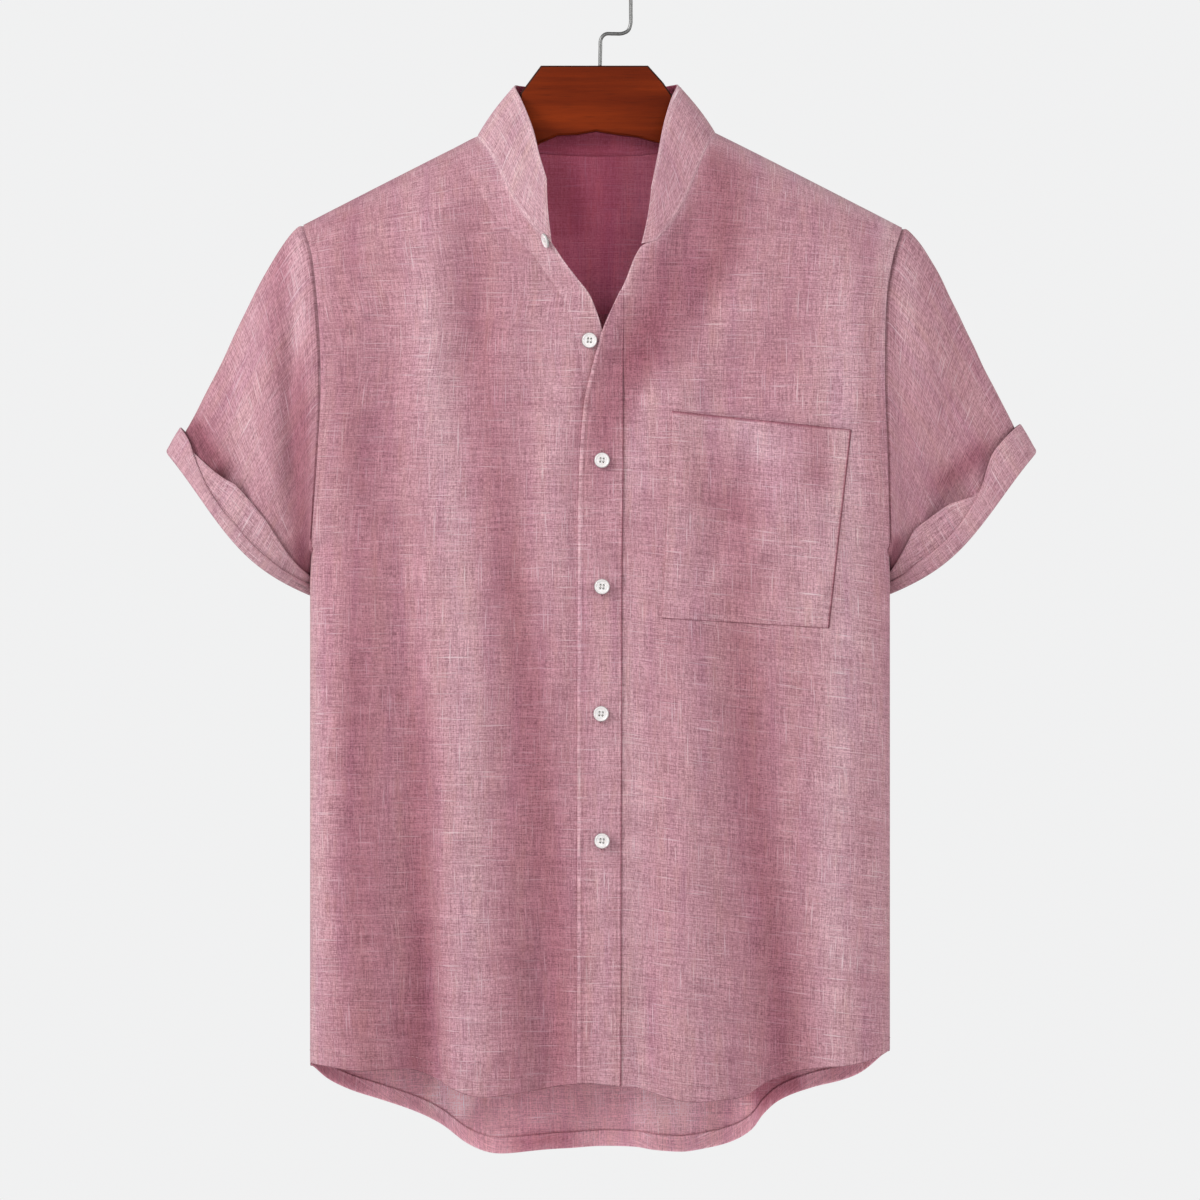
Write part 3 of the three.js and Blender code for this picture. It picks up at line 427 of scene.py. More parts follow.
def fold_painted_shading(x, z, back=False):
    """Painted light and shade: a little lighter on ridges and darker in troughs, with the painted strokes of
    the shading tables.
    """
    fold, crease = relief(x, z, back)
    return 1 + FOLD_PAINTED_SHADE * fold + CREASE_PAINTED_SHADE * crease + crease_out(BACK_PAINTED_SHADING if back else FRONT_PAINTED_SHADING, x, z)


def ripple(x, z, seed, size):
    """Fine unevenness of hanging cloth."""
    rng = np.random.default_rng(seed)
    total = np.zeros(np.broadcast(x, z).shape)
    for _ in range(14):
        length = rng.uniform(18, 70)
        tilt = rng.normal(0, 0.5)
        a, b = math.cos(tilt) / length, math.sin(tilt) / length
        total += size * math.sqrt(length / 45) * np.sin(2 * math.pi * (a * x + b * z) + rng.uniform(0, 6.3)) / 2
    return total


def body_y(x, z, back):
    side = np.where(x < 0, -1, 1)
    down = np.maximum(shoulder_z(x) - z, 0)
    over = np.sqrt(1 - (1 - np.minimum(down / SHOULDER_ROUND, 1)) ** 2)
    across = np.minimum(np.abs(x) / np.where(side < 0, -edge_x(-1, z), edge_x(1, z)), 1)
    gap = 1 - (2 * down / ARMHOLE_DROP - 1) ** 2
    soft = ARMHOLE_SOFT * (1 - across) * np.minimum(down / ARMHOLE_DROP, 1) ** 2
    edge = ARMHOLE_DEPTH * np.sqrt((gap + np.hypot(gap, soft)) / 2)
    full = (1 - across ** FULLNESS) ** (1 / FULLNESS)
    deep = read(DEPTH_BACK if back else DEPTH_FRONT, z) * over
    fold, crease = relief(x, z, back)
    out = fold * FOLD_GAIN + crease * CREASE_GAIN + ripple(x, z, 5 if back else 3, 0.3)
    y = np.maximum(edge + (deep - edge) * full + out * full * over, 0.25)
    return y if back else -y


def front_y(x, z, side):
    y = body_y(x, z, False)
    if side > 0:
        across = np.minimum(np.abs(x / edge_x(1, z)), 1)
        turn = np.clip((shoulder_z(x) - z) / SHOULDER_ROUND, 0, 1)
        return y - LAYER * (1 - across ** 8) * np.sqrt(turn)
    near = np.clip(1 - (read(EDGE_RIGHT, z) - x) / LIP_WIDTH, 0, 1)
    return y - read(LIP, z) * near * near


def meet(row, edge, low, high):
    """Where rows meet an edge given as x at a height. row takes x for all rows at once."""
    a, b = np.array(low, float), np.array(high, float)
    for _ in range(40):
        x = (a + b) / 2
        before = x < edge(row(x))
        a = np.where(before, x, a)
        b = np.where(before, b, x)
    return (a + b) / 2


def seam_edge(row, side, count=None):
    """x of the side seam and armhole, for one row or for count rows."""
    low, high = side * ARMHOLE_REACH - ARMHOLE_SEARCH, side * ARMHOLE_REACH + ARMHOLE_SEARCH
    if count:
        low, high = np.full(count, low), np.full(count, high)
    return meet(row, lambda z: edge_x(side, z), low, high)


def free_edge(row, side, count):
    table = EDGE_RIGHT if side < 0 else EDGE_LEFT
    return meet(row, lambda z: read(table, z), np.full(count, -100), np.full(count, 100))


def spread(length, start, end, cells):
    """Places along a length: fixed ones from each end and even ones between."""
    middle = np.linspace(start[-1], length - end[-1], cells + 1)[1:-1]
    return np.concatenate([start, middle, length - np.array(end[::-1])])


def resample(lines, places):
    """Rows of points at places along fine lines. places takes a line's length."""
    rows, lengths, at = [], [], []
    for line in lines:
        run = run_along(line)
        at.append(places(run[-1]))
        rows.append(points_at(at[-1], run, line))
        lengths.append(run[-1])
    return np.array(rows), np.array(lengths), np.array(at)


def normals(grid, ring=False):
    across = np.roll(grid, -1, 1) - np.roll(grid, 1, 1) if ring else np.gradient(grid, axis=1)
    n = np.cross(across, np.gradient(grid, axis=0))
    return n / np.maximum(np.linalg.norm(n, axis=2, keepdims=True), 1e-9)


def facing(grid, way):
    """Normals of a grid, turned to -y or +y."""
    n = normals(grid)
    return n if np.mean(n[:, :, 1]) * way > 0 else -n


def per_row(values, x):
    return values.reshape(values.shape + (1,) * (np.ndim(x) - 1))


def front_rows():
    """Rows up a front: even ones to the round of the shoulder, then by its angle."""
    even = spread(1, np.array(HEM_PLACES) / FRONT_RISE, [0], ROWS)
    turn = np.linspace(math.pi / 2, 0, ROUND_CELLS + 1)[1:]
    up = np.concatenate([even, np.ones(len(turn))])
    angle = np.concatenate([np.full(len(even), math.pi / 2), turn])
    straight = np.arange(len(up)) < len(even)

    def row(x):
        low = mix(read(FRONT_HEM, x), shoulder_z(x) - SHOULDER_ROUND, per_row(up, x))
        over = shoulder_z(x) - SHOULDER_ROUND * (1 - np.cos(per_row(angle, x)))
        return np.where(per_row(straight, x), low, over)
    return row, angle


def front_grid(side):
    """Points of a front from the side seam and armhole to the free edge, and its cloth map."""
    row, angle = front_rows()
    inner = free_edge(row, side, len(angle))[:, None]
    x = mix(seam_edge(row, side, len(angle))[:, None], inner, FINE)
    z = row(x)
    end = RIGHT_EDGE_PLACES if side < 0 else LEFT_EDGE_PLACES
    lines = np.stack([x, front_y(x, z, side), z], 2)
    grid, length, at = resample(lines, lambda run: spread(run, SEAM_PLACES, end, FRONT_CELLS))
    u = inner - side * (at - length[:, None])
    rise = grid[:, :, 2] + SHOULDER_ROUND * ((math.pi / 2 - angle) - np.cos(angle))[:, None]
    v = rise + 0.12 * np.maximum(u - 20, 0) * smooth((-300 - grid[:, :, 2]) / 200)
    return grid, np.stack([u, v], 2)


def back_grid():
    up = spread(1, np.array(HEM_PLACES) / BACK_RISE, np.array([0, 1, 3]) / BACK_RISE, ROWS)

    def row(x):
        return mix(read(BACK_HEM, x), YOKE_SEAM - SEAM_GAP, per_row(up, x))
    left, right = [seam_edge(row, side, len(up))[:, None] for side in (-1, 1)]
    x = mix(right, left, FINE)
    z = row(x)
    lines = np.stack([x, body_y(x, z, True), z], 2)
    grid, length, at = resample(lines, lambda run: spread(run, SEAM_PLACES, SEAM_PLACES, BACK_CELLS))
    return grid, np.stack([length[:, None] / 2 - at, grid[:, :, 2]], 2)


def yoke_top(x):
    inside = (x >= BACK_NECK[0][0]) & (x <= BACK_NECK[-1][0])
    return np.where(inside, read(BACK_NECK, x), shoulder_z(x))


def yoke_grid():
    first = BACK_NECK[0][0] / -float(seam_edge(shoulder_z, -1))
    last = BACK_NECK[-1][0] / float(seam_edge(shoulder_z, 1))
    stops = ((1, last, YOKE_SHOULDER_CELLS), (last, first, YOKE_NECK_CELLS), (first, -1, YOKE_SHOULDER_CELLS))
    parts = np.concatenate([[1]] + [np.linspace(a, b, cells + 1)[1:] for a, b, cells in stops])
    lines = []
    for part in parts:
        side = -1 if part < 0 else 1
        top = YOKE_SEAM
        for _ in range(30):
            top = float(yoke_top(np.array(abs(part) * edge_x(side, top))))
        z = mix(YOKE_SEAM + SEAM_GAP, top, np.sin(np.linspace(0, 1, 90) * math.pi / 2))
        x = abs(part) * edge_x(side, z)
        lines.append(np.stack([x, body_y(x, z, True), z], 1))
    columns, _, at = resample(lines, lambda run: spread(run, YOKE_PLACES, [0, 1, 2.5], YOKE_CELLS))
    grid = columns.transpose(1, 0, 2)
    return grid, np.stack([grid[:, :, 0], at.T + YOKE_SEAM], 2)


def catmull(points, at):
    """Centripetal curve through points, read at control places."""
    p = np.array(points, float)
    p = np.vstack([2 * p[0] - p[1], p, 2 * p[-1] - p[-2]])
    out = []
    for t in np.atleast_1d(at):
        i = int(min(t, len(points) - 2))
        w = t - i
        a, b, c, d = p[i:i + 4]
        d0, d1, d2 = [np.linalg.norm(q - r) ** 0.5 for q, r in ((b, a), (c, b), (d, c))]
        t1 = ((b - a) / d0 - (c - a) / (d0 + d1) + (c - b) / d1) * d1
        t2 = ((c - b) / d1 - (d - b) / (d1 + d2) + (d - c) / d2) * d1
        out.append(b + t1 * w + (-3 * b + 3 * c - 2 * t1 - t2) * w ** 2 + (2 * b - 2 * c + t1 + t2) * w ** 3)
    return np.array(out)


def collar_lines(right, left, yoke):
    """Base on the neck seam and rim, from the right end round the back to the left end."""
    last = YOKE_SHOULDER_CELLS + YOKE_NECK_CELLS
    seams = [right[-ROUND_CELLS - 1:, -1], yoke[-1, YOKE_SHOULDER_CELLS:last + 1][::-1],
             left[-ROUND_CELLS - 1:, -1][::-1]]
    base, at = [], []
    for seam, low, high in zip(seams, COLLAR_STOPS, COLLAR_STOPS[1:]):
        run = run_along(seam)
        skip = min(len(base), 1)
        base.append(seam[skip:])
        at.append(mix(low, high, run / run[-1])[skip:])
    base = np.vstack(base)
    run = run_along(base)
    places = spread(run[-1], COLLAR_PLACES, COLLAR_PLACES, COLLAR_CELLS)
    return points_at(places, run, base), points_at(places, run, catmull(COLLAR_TOP, np.concatenate(at))), places


def collar_grid(base, rim, places):
    """Folded strip: up the inside, over the top edge and down the outside, with its cloth map."""
    rise = rim - base
    height = np.linalg.norm(rise, axis=1)
    across = unit(np.cross(rise, np.gradient(base, axis=0)))
    left = places[-1] - places
    end = np.minimum(places, left)
    split = 0.45 * smooth(end / 5) + 0.12
    settled = smooth(end / 12)
    profile = [(h, -1) for h in (-3, 1, 4) + COLLAR_RISES] + [(None, -0.75), (None, 0), (None, 0.75)]
    profile += [(h, 1) for h in COLLAR_RISES[::-1] + (5, 3.4, 2.6, 1.8, 0.2, -1.5)]
    rows, v = [], []
    for h, layer in profile:
        if h is None:
            t = 1 - 0.4 * abs(layer) / height
        elif h > 6:
            t = np.full(len(base), h / 45)
        else:
            t = (h if h > 0 else h * settled) / height
        part = np.clip(t, 0, 1)
        p = base + rise * t[:, None]
        out = unit((p - (COLLAR_MIDDLE, 0, 0)) * (1, 1, 0))
        n = across * np.sign(np.sum(across * out, axis=1, keepdims=True))
        stand = layer * split + 0.5 * np.sin(places / 17) * np.sin(places / 29 + 1) * part ** 2
        if layer > 0 and h is not None:
            stand = stand - (0.55 * smooth((1.8 - h) / 3) + 0.2 * bell(h, 2.6, 0.9)) * settled
        p = p + out * COLLAR_BOW * np.sin(math.pi * part)[:, None] + n * stand[:, None]
        p[:, 0] -= COLLAR_END_REACH * smooth(1 - left / 9) * (1 - part)
        rows.append(p)
        v.append(np.full(len(base), (44 if h is None else h) * (1 if layer > 0 else -1)))
    return np.array(rows), np.stack([np.tile(places, (len(profile), 1)), np.array(v)], 2)


def sleeve_point(side, turn, along):
    """Point of a sleeve at a turn round it and a part of the way to its folded end."""
    end = CUFFS[side]
    axis = unit(np.array(end["axis"], float))
    down = (1 - np.cos(turn)) / 2
    none = 0 * turn
    z = shoulder_z(float(seam_edge(shoulder_z, side))) - ARMHOLE_DROP * down
    start = np.stack([edge_x(side, z) + side * ARMHOLE_EASE, -ARMHOLE_DEPTH * np.sin(turn), z], -1)
    stop = mix(np.array(end["outer"], float), np.array(end["inner"], float), down[..., None])
    stop = stop + np.stack([none, -end["depth"] * np.sin(turn), none], -1)
    stop = stop + axis * (CUFF_BOW * np.sin(math.pi * down ** CUFF_BOW_SKEW))[..., None]
    reach = mix(SLEEVE_HEAD_REACH, SLEEVE_FOOT_REACH, down)
    first = start + np.stack([side * reach, none, -SLEEVE_HEAD_DROP * (1 - down)], -1)
    second = stop - axis * mix(CUFF_PULL_TOP, CUFF_PULL_FOOT, down)[..., None]
    a = along[..., None]
    b = 1 - a
    return start * b ** 3 + first * 3 * b * b * a + second * 3 * b * a * a + stop * a ** 3


def sleeve_grid(side):
    turn = side * np.linspace(0, 2 * math.pi, 150, endpoint=False)
    turn, along = np.meshgrid(turn, np.concatenate([[0, 0.004, 0.01, 0.018, 0.03], np.linspace(0.05, 1, 46)]))
    grid = sleeve_point(side, turn, along)
    n = normals(grid, ring=True)
    x, y, z = grid[..., 0], grid[..., 1], grid[..., 2]
    creases = crease_out(SLEEVE_RIGHT_CREASES if side < 0 else SLEEVE_LEFT_CREASES, x, z)
    out = creases * (smooth(-y / 14) + 0.7 * smooth(y / 14)) + ripple(x, z, 11 + side, 0.18)
    grid = grid + n * (out * smooth(along / 0.06))[..., None]
    grid[:5] -= n[:5] * np.array([1.5, 1.2, 0.8, 0.35, 0.1])[:, None, None]
    grid[0, :, 0] -= side * 3.4
    grid[1, :, 0] -= side * 1.6
    return grid, np.stack(np.meshgrid(run_along(grid[25]), run_along(grid[:, 37])), 2)


def end_strip(side, width, stand, drop, tucked):
    """Rings of a turn of the sleeve's end: round its fold and up the outside to its free edge."""
    turn = side * np.linspace(0, 2 * math.pi, 168, endpoint=False)
    axis = unit(np.array(CUFFS[side]["axis"], float))
    surface = sleeve_point(side, *np.meshgrid(turn, np.linspace(1, 0.62, 60)))
    n = normals(surface[::-1], ring=True)[::-1]
    run = np.array([run_along(surface[:, j]) for j in range(len(turn))])
    wide = read(width, (1 - np.cos(turn)) / 2)
    wave = 0.5 * np.sin(3 * turn + 1) + 0.35 * np.sin(7 * turn)
    none = np.zeros(len(turn))

    def place(distance, lift):
        p, q = [np.array([[np.interp(distance[j], run[j], values[:, j, k]) for k in range(3)]
                          for j in range(len(turn))]) for values in (surface, n)]
        return p + q * np.reshape(lift, (-1, 1))

    rings = [place(none + inside, none - CUFF_TUCK) for inside in tucked]
    v = [-inside for inside in tucked]
    radius = (stand + CUFF_TUCK) / 2
    for angle in np.radians([-70, -40, -10, 20, 50, 75]):
        base = place(none, none + (stand - CUFF_TUCK) / 2 + radius * math.sin(angle))
        rings.append(base + axis * (drop + radius * math.cos(angle)))
        v.append(drop + angle * radius)
    for part in np.concatenate([[0.03, 0.08], np.linspace(0.16, 0.94, 11), [0.97, 1.0]]):
        lift = stand + 0.4 * math.sin(math.pi * part) + wave * 0.5 * part - 10 * max(part - 0.95, 0)
        rings.append(place(wide * part + wave * 0.3 * part, lift))
        v.append(drop + part * 22)
    return np.array(rings), np.stack(np.meshgrid(turn * side * CUFF_RADIUS, v), 2)


# Meshes

def add_mesh(name, points, faces, materials, uvs=None):
    mesh = bpy.data.meshes.new(name)
    mesh.from_pydata([tuple(p) for p in points * MM], [], [tuple(f) for f in faces])
    if uvs is not None:
        layer = mesh.uv_layers.new(name="cloth")
        layer.data.foreach_set("uv", np.ascontiguousarray(uvs * MM, np.float32).ravel())
    for m in materials:
        mesh.materials.append(m)
    mesh.polygons.foreach_set("use_smooth", [True] * len(mesh.polygons))
    obj = bpy.data.objects.new(name, mesh)
    bpy.context.scene.collection.objects.link(obj)
    return obj


def add_painted_shading(obj, word, values):
    obj.data.attributes.new(word, "FLOAT", "POINT").data.foreach_set("value", np.array(values, np.float32))


def grid_faces(rows, cols, ring=False, flip=False):
    i, j = np.meshgrid(np.arange(rows - 1), np.arange(cols if ring else cols - 1), indexing="ij")
    k = (j + 1) % cols
    quads = np.stack([i * cols + j, i * cols + k, (i + 1) * cols + k, (i + 1) * cols + j], -1).reshape(-1, 4)
    return quads[:, ::-1] if flip else quads


def cloth_object(name, sheets, materials, tones, inner=None, thickness=CLOTH, ring=False, flip=False):
    """A piece of cloth from one or more grids, given a thickness. tones paint light and shade on parts of it.
    """
    points, faces, uvs = [], [], []
    shift = 0
    for grid, uv in sheets:
        rows, cols = grid.shape[:2]
        quads = grid_faces(rows, cols, ring, flip)
        corner = uv.reshape(-1, 2)[quads]
        if ring:
            span = uv[0, -1, 0] - uv[0, 0, 0]
            u = corner[:, :, 0]
            wrap = np.abs(u.max(1) - u.min(1)) > abs(span) / 2
            corner[:, :, 0] = np.where(wrap[:, None] & (u == uv[0, 0, 0]), u + span * cols / (cols - 1), u)
        points.append(grid.reshape(-1, 3))
        faces.append(quads + shift)
        uvs.append(corner.reshape(-1, 2))
        shift += rows * cols
    obj = add_mesh(name, np.vstack(points), np.vstack(faces), materials, np.vstack(uvs))
    for word, values in (("tone", tones), ("tone_inside", inner or tones)):
        add_painted_shading(obj, word, np.concatenate([t.ravel() for t in values]))
    solid = obj.modifiers.new("thickness", "SOLIDIFY")
    solid.thickness = thickness * MM
    solid.offset = 0
    solid.material_offset = 1 if len(materials) > 1 else 0
    return obj


def turned_edge(grid, uv, count, gap, n_sign):
    """Adds the hem's turned-in rows before a grid's first row."""
    n = normals(grid) * n_sign
    back = (grid[1:count + 1] - n[1:count + 1] * gap)[::-1]
    away = unit(grid[0] - grid[1])
    fold = [grid[0] - n[0] * gap * a + away * gap * b for a, b in ((0.85, 0.25), (0.5, 0.5), (0.12, 0.25))]
    uv_back = (2 * uv[:1] - uv[1:count + 1])[::-1]
    return np.concatenate([back, fold, grid]), np.concatenate([uv_back, uv[:1], uv[:1], uv[:1], uv])


# Materials

class Nodes:
    """Short calls for building a material."""

    def __init__(self, name):
        self.material = bpy.data.materials.new(name)
        self.material.use_nodes = True
        self.tree = self.material.node_tree
        self.tree.nodes.clear()
        out = self.tree.nodes.new("ShaderNodeOutputMaterial")
        self.shader = self.tree.nodes.new("ShaderNodeBsdfPrincipled")
        self.link(self.shader.outputs[0], out.inputs["Surface"])

    def link(self, value, socket):
        if isinstance(value, (int, float, tuple)):
            color = socket.type == "RGBA" and len(value) == 3
            socket.default_value = value + (1.0,) if color else value
        else:
            self.tree.links.new(value, socket)

    def add(self, kind, sockets, output=0, **settings):
        """Adds a node with its settings, feeds its sockets and gives one of its outputs."""
        node = self.tree.nodes.new(kind)
        for key, value in settings.items():
            setattr(node, key, value)
        for socket, value in sockets.items():
            self.link(value, node.inputs[socket])
        return node.outputs[output]

    def uv(self):
        return self.add("ShaderNodeUVMap", {}, uv_map="cloth")

    def place(self):
        return self.add("ShaderNodeTexCoord", {}, "Object")

    def tone(self, name="tone"):
        return self.add("ShaderNodeAttribute", {}, "Fac", attribute_name=name)

    def scaled(self, vector, scale, location=(0, 0, 0)):
        return self.add("ShaderNodeMapping", {"Vector": vector, "Scale": scale, "Location": location})

    def noise(self, vector, scale=1.0, detail=2.0, rough=0.5):
        return self.add("ShaderNodeTexNoise", {"Vector": vector, "Scale": scale, "Detail": detail,
                                               "Roughness": rough}, "Fac")

    def wave(self, vector, scale, direction, distortion):
        return self.add("ShaderNodeTexWave", {"Vector": vector, "Scale": scale, "Distortion": distortion,
                                              "Detail": 1.0}, "Fac", bands_direction=direction)

    def math(self, operation, a, b):
        return self.add("ShaderNodeMath", {0: a, 1: b}, operation=operation)

    def span(self, value, low, high, to_low=0.0, to_high=1.0):
        return self.add("ShaderNodeMapRange", {"Value": value, "From Min": low, "From Max": high,
                                               "To Min": to_low, "To Max": to_high})

    def blend(self, fac, a, b, mode="MIX"):
        return self.add("ShaderNodeMix", {0: fac, 6: a, 7: b}, 2, data_type="RGBA", blend_type=mode)

    def bump(self, height, strength, distance):
        n = self.add("ShaderNodeBump", {"Height": height, "Strength": strength, "Distance": distance})
        self.link(n, self.shader.inputs["Normal"])

    def set(self, **values):
        names = {"color": "Base Color", "rough": "Roughness", "metal": "Metallic", "sheen": "Sheen Weight",
                 "sheen_rough": "Sheen Roughness", "sheen_tint": "Sheen Tint", "coat": "Coat Weight",
                 "coat_rough": "Coat Roughness", "specular": "Specular IOR Level",
                 "subsurface": "Subsurface Weight", "radius": "Subsurface Radius"}
        for key, value in values.items():
            self.link(value, self.shader.inputs[names[key]])
        return self.material


def times(color, factors):
    return tuple(c * k for c, k in zip(color, factors))


def linen(name, tone=(1.0, 1.0, 1.0), contrast=1.0, fade=None, tone_name="tone"):
    """Slubby linen: fine threads both ways, long lighter slubs and a few warm and dark ones, with painted light
    and shade from a tone attribute.
    """
    m = Nodes(name)
    cloth = m.scaled(m.uv(), (1000.0, 1000.0, 1.0))

    def grain(x, y, shift=(0, 0), detail=1.0, rough=0.5):
        return m.noise(m.scaled(cloth, (x, y, 1.0), shift + (0,)), 1.0, detail, rough)

    coarse = m.math("ADD", grain(1.05, 0.045, (0, 0), 2.0, 0.6), grain(0.045, 1.05, (7.0, 3.0), 2.0, 0.6))
    fine = m.math("ADD", grain(1.9, 0.35, (1.0, 9.0)), grain(0.35, 1.9, (5.0, 2.0)))
    threads = m.math("ADD", coarse, fine)
    slubs = m.math("MAXIMUM", m.span(grain(0.85, 0.03, (31.0, 0)), 0.63, 0.76),
                   m.span(grain(0.03, 0.85, (0, 17.0)), 0.63, 0.76))
    dark = m.math("MAXIMUM", m.span(grain(0.05, 0.8, (3.0, 41.0)), 0.66, 0.78),
                  m.span(grain(0.8, 0.05, (53.0, 1.0)), 0.66, 0.78))
    warm = m.span(grain(0.16, 0.035, (11.0, 23.0), 2.0), 0.54, 0.72)
    bands = grain(0.07, 0.007, (2.0, 5.0), 2.0)
    bars = grain(0.008, 0.08, (9.0, 4.0), 2.0)

    base = times(LINEN, tone)
    low = times(base, [(1 - 0.42 * contrast) * k for k in (1.02, 0.92, 0.95)])
    high = tuple(min(c * (1 + 0.42 * contrast), 1) * k for c, k in zip(base, (1.0, 1.06, 1.03)))
    light = tuple(min(c, 1) for c in times(base, (1.5, 2.05, 1.9)))
    color = m.blend(m.span(threads, 1.66, 2.34), low, high)
    color = m.blend(m.math("MULTIPLY", slubs, 0.8 * contrast), color, light)
    color = m.blend(m.math("MULTIPLY", dark, 0.8 * contrast), color, times(base, (0.68, 0.6, 0.66)))
    color = m.blend(m.math("MULTIPLY", warm, 0.26), color, times(base, (1.12, 1.12, 0.92)))
    color = m.blend(m.span(m.noise(cloth, 0.03, 1.0), 0.35, 0.65, 0.0, 0.14), color, times(base, (0.85,) * 3))
    steps = [(bands, 0.5, 0.68, 0.75, (1.03, 1.07, 1.0)), (bands, 0.46, 0.3, 0.8, (0.9, 0.83, 0.9)),
             (bars, 0.52, 0.7, 0.7, (1.07, 1.12, 1.1)), (bars, 0.46, 0.3, 0.7, (0.93, 0.88, 0.9))]
    # fade is painted shade: darker towards the top of the cloth map
    if fade:
        height = m.add("ShaderNodeSeparateXYZ", {0: m.uv()}, 1)
        steps.append((height, fade[0], fade[1], 1.0, fade[2]))
    # Painted light and shade: the tone attribute multiplies the colour, redder where it darkens and paler where
    # it lightens
    shade = m.tone(tone_name)
    for value, start, stop, most, change in steps:
        color = m.blend(m.span(value, start, stop, 0.0, most), color, change, "MULTIPLY")
    color = m.blend(1.0, color, shade, "MULTIPLY")
    color = m.blend(m.span(shade, 1.0, 0.6), color, (1.0, 0.70, 0.78), "MULTIPLY")
    color = m.blend(m.span(shade, 1.0, 1.3), color, (1.0, 1.25, 1.17), "MULTIPLY")
    weave = m.math("MULTIPLY", m.wave(cloth, 0.52, "X", 0.6), m.wave(cloth, 0.52, "Y", 0.6))
    raised = m.math("ADD", m.math("MULTIPLY", weave, 0.5), slubs)
    m.bump(m.math("ADD", m.math("MULTIPLY", threads, 0.55), raised), 0.5, 0.00022)
    return m.set(color=color, rough=0.88, sheen=0.16, sheen_rough=0.45, sheen_tint=(1.0, 0.86, 0.88),
                 specular=0.18)


def thread_material(name, turns, bend, relief, dark, light, **more):
    m = Nodes(name)
    twist = m.wave(m.place(), turns, "DIAGONAL", bend)
    m.bump(twist, relief, 0.00005)
    return m.set(color=m.blend(twist, dark, light), rough=0.6, **more)


def button_material():
    m = Nodes("button_white")
    cloud = m.noise(m.place(), 260.0, 3.0, 0.55)
    color = m.blend(m.span(cloud, 0.3, 0.7), (0.68, 0.64, 0.63), (0.82, 0.79, 0.785))
    m.bump(m.noise(m.place(), 900.0, 2.0), 0.06, 0.0001)
    # The tone attribute paints shade on the button
    return m.set(color=m.blend(1.0, color, m.tone(), "MULTIPLY"), rough=0.28, coat=0.5, coat_rough=0.12,
                 subsurface=0.08, radius=(0.002, 0.0015, 0.0012))


def wood_material():
    """Dark reddish-brown varnished wood with its grain along the board."""
    m = Nodes("varnished_wood")
    p = m.place()
    bend = m.noise(m.scaled(p, (5.0, 5.0, 14.0)))
    grain = m.noise(m.scaled(p, WOOD_GRAIN), 1.0, 6.0, 0.62)
    bands = m.noise(m.scaled(p, (2.2, 12.0, 38.0)), 1.0, 3.0, 0.55)
    pores = m.span(m.noise(m.scaled(p, (60.0, 900.0, 1500.0))), 0.56, 0.72)
    color = m.blend(m.span(bands, 0.32, 0.68), (0.092, 0.009, 0.002), (0.25, 0.031, 0.0042))
    color = m.blend(m.span(grain, 0.38, 0.72, 0.0, 0.55), color, (0.07, 0.008, 0.0025))
    color = m.blend(m.span(bend, 0.5, 0.8, 0.0, 0.4), color, (0.29, 0.043, 0.006))
    color = m.blend(m.math("MULTIPLY", pores, 0.35), color, (0.03, 0.006, 0.003))
    m.bump(m.math("ADD", grain, pores), 0.1, 0.0003)
    return m.set(color=color, rough=m.span(grain, 0.2, 0.8, 0.42, 0.55), specular=0.05)


# A darker colour for the board's top and end faces, not its lower edge
def wood_edge_material():
    m = Nodes("board_edge_dark")
    grain = m.noise(m.scaled(m.place(), WOOD_GRAIN), 1.0, 4.0, 0.6)
    return m.set(color=m.blend(grain, (0.02, 0.006, 0.004), (0.055, 0.012, 0.006)), rough=0.5, specular=0.1)


def steel_material():
    m = Nodes("steel_wire")
    draw = m.noise(m.scaled(m.place(), (900.0, 900.0, 60.0)))
    color = m.blend(draw, (0.13, 0.13, 0.13), (0.22, 0.22, 0.215))
    return m.set(color=color, rough=m.span(draw, 0.2, 0.8, 0.3, 0.42), metal=0.9)


# Sewing

STITCHES = []


def stitch(line, out, lift=0.42):
    """Keeps thread stitches along a line of points; out is the way the cloth faces."""
    run = run_along(line)
    start = (np.arange(int(run[-1] / STITCH_PITCH)) + 0.5) * STITCH_PITCH - STITCH_LENGTH / 2
    first, last = [points_at(start + d, run, line) for d in (0, STITCH_LENGTH)]
    for a, b, n in zip(first, last, points_at(start + STITCH_LENGTH / 2, run, out)):
        STITCHES.append((a + n * lift, b + n * lift, n))


def thread_object(name, stitches, material, radius=0.24, sides=6):
    """One mesh of short rounded threads."""
    profile = [(-0.02, 0.25), (0.12, 0.85), (0.5, 1.05), (0.88, 0.85), (1.02, 0.25)]
    points, faces = [], []
    cells = grid_faces(len(profile), sides, ring=True)
    for a, b, n in stitches:
        way = unit(b - a)
        side = unit(np.cross(way, n))
        top = np.cross(side, way)
        start = len(points)
        for t, r in profile:
            middle = a + (b - a) * t - n * 0.35 * (2 * t - 1) ** 2
            for angle in np.arange(sides) * 2 * math.pi / sides:
                points.append(middle + radius * r * (side * math.cos(angle) + top * math.sin(angle)))
        faces += (cells + start).tolist()
        faces.append(range(start + sides - 1, start - 1, -1))
        faces.append(range(len(points) - sides, len(points)))
    return add_mesh(name, np.array(points), faces, [material])


def pucker(grid, n, columns, first, size, seed):
    """Small gathers of the cloth beside a stitched line that runs down the columns."""
    rng = np.random.default_rng(seed)
    run = run_along(grid[first:, columns[0]])
    wave = np.zeros(len(run))
    for _ in range(5):
        length = rng.uniform(9, 24)
        wave += np.sin(2 * math.pi * run / length + rng.uniform(0, 6.3)) / 5
    for k, column in enumerate(columns):
        fade = math.sin(math.pi * (k + 0.5) / len(columns))
        grid[first:, column] += n[first:, column] * (wave * size * fade)[:, None]


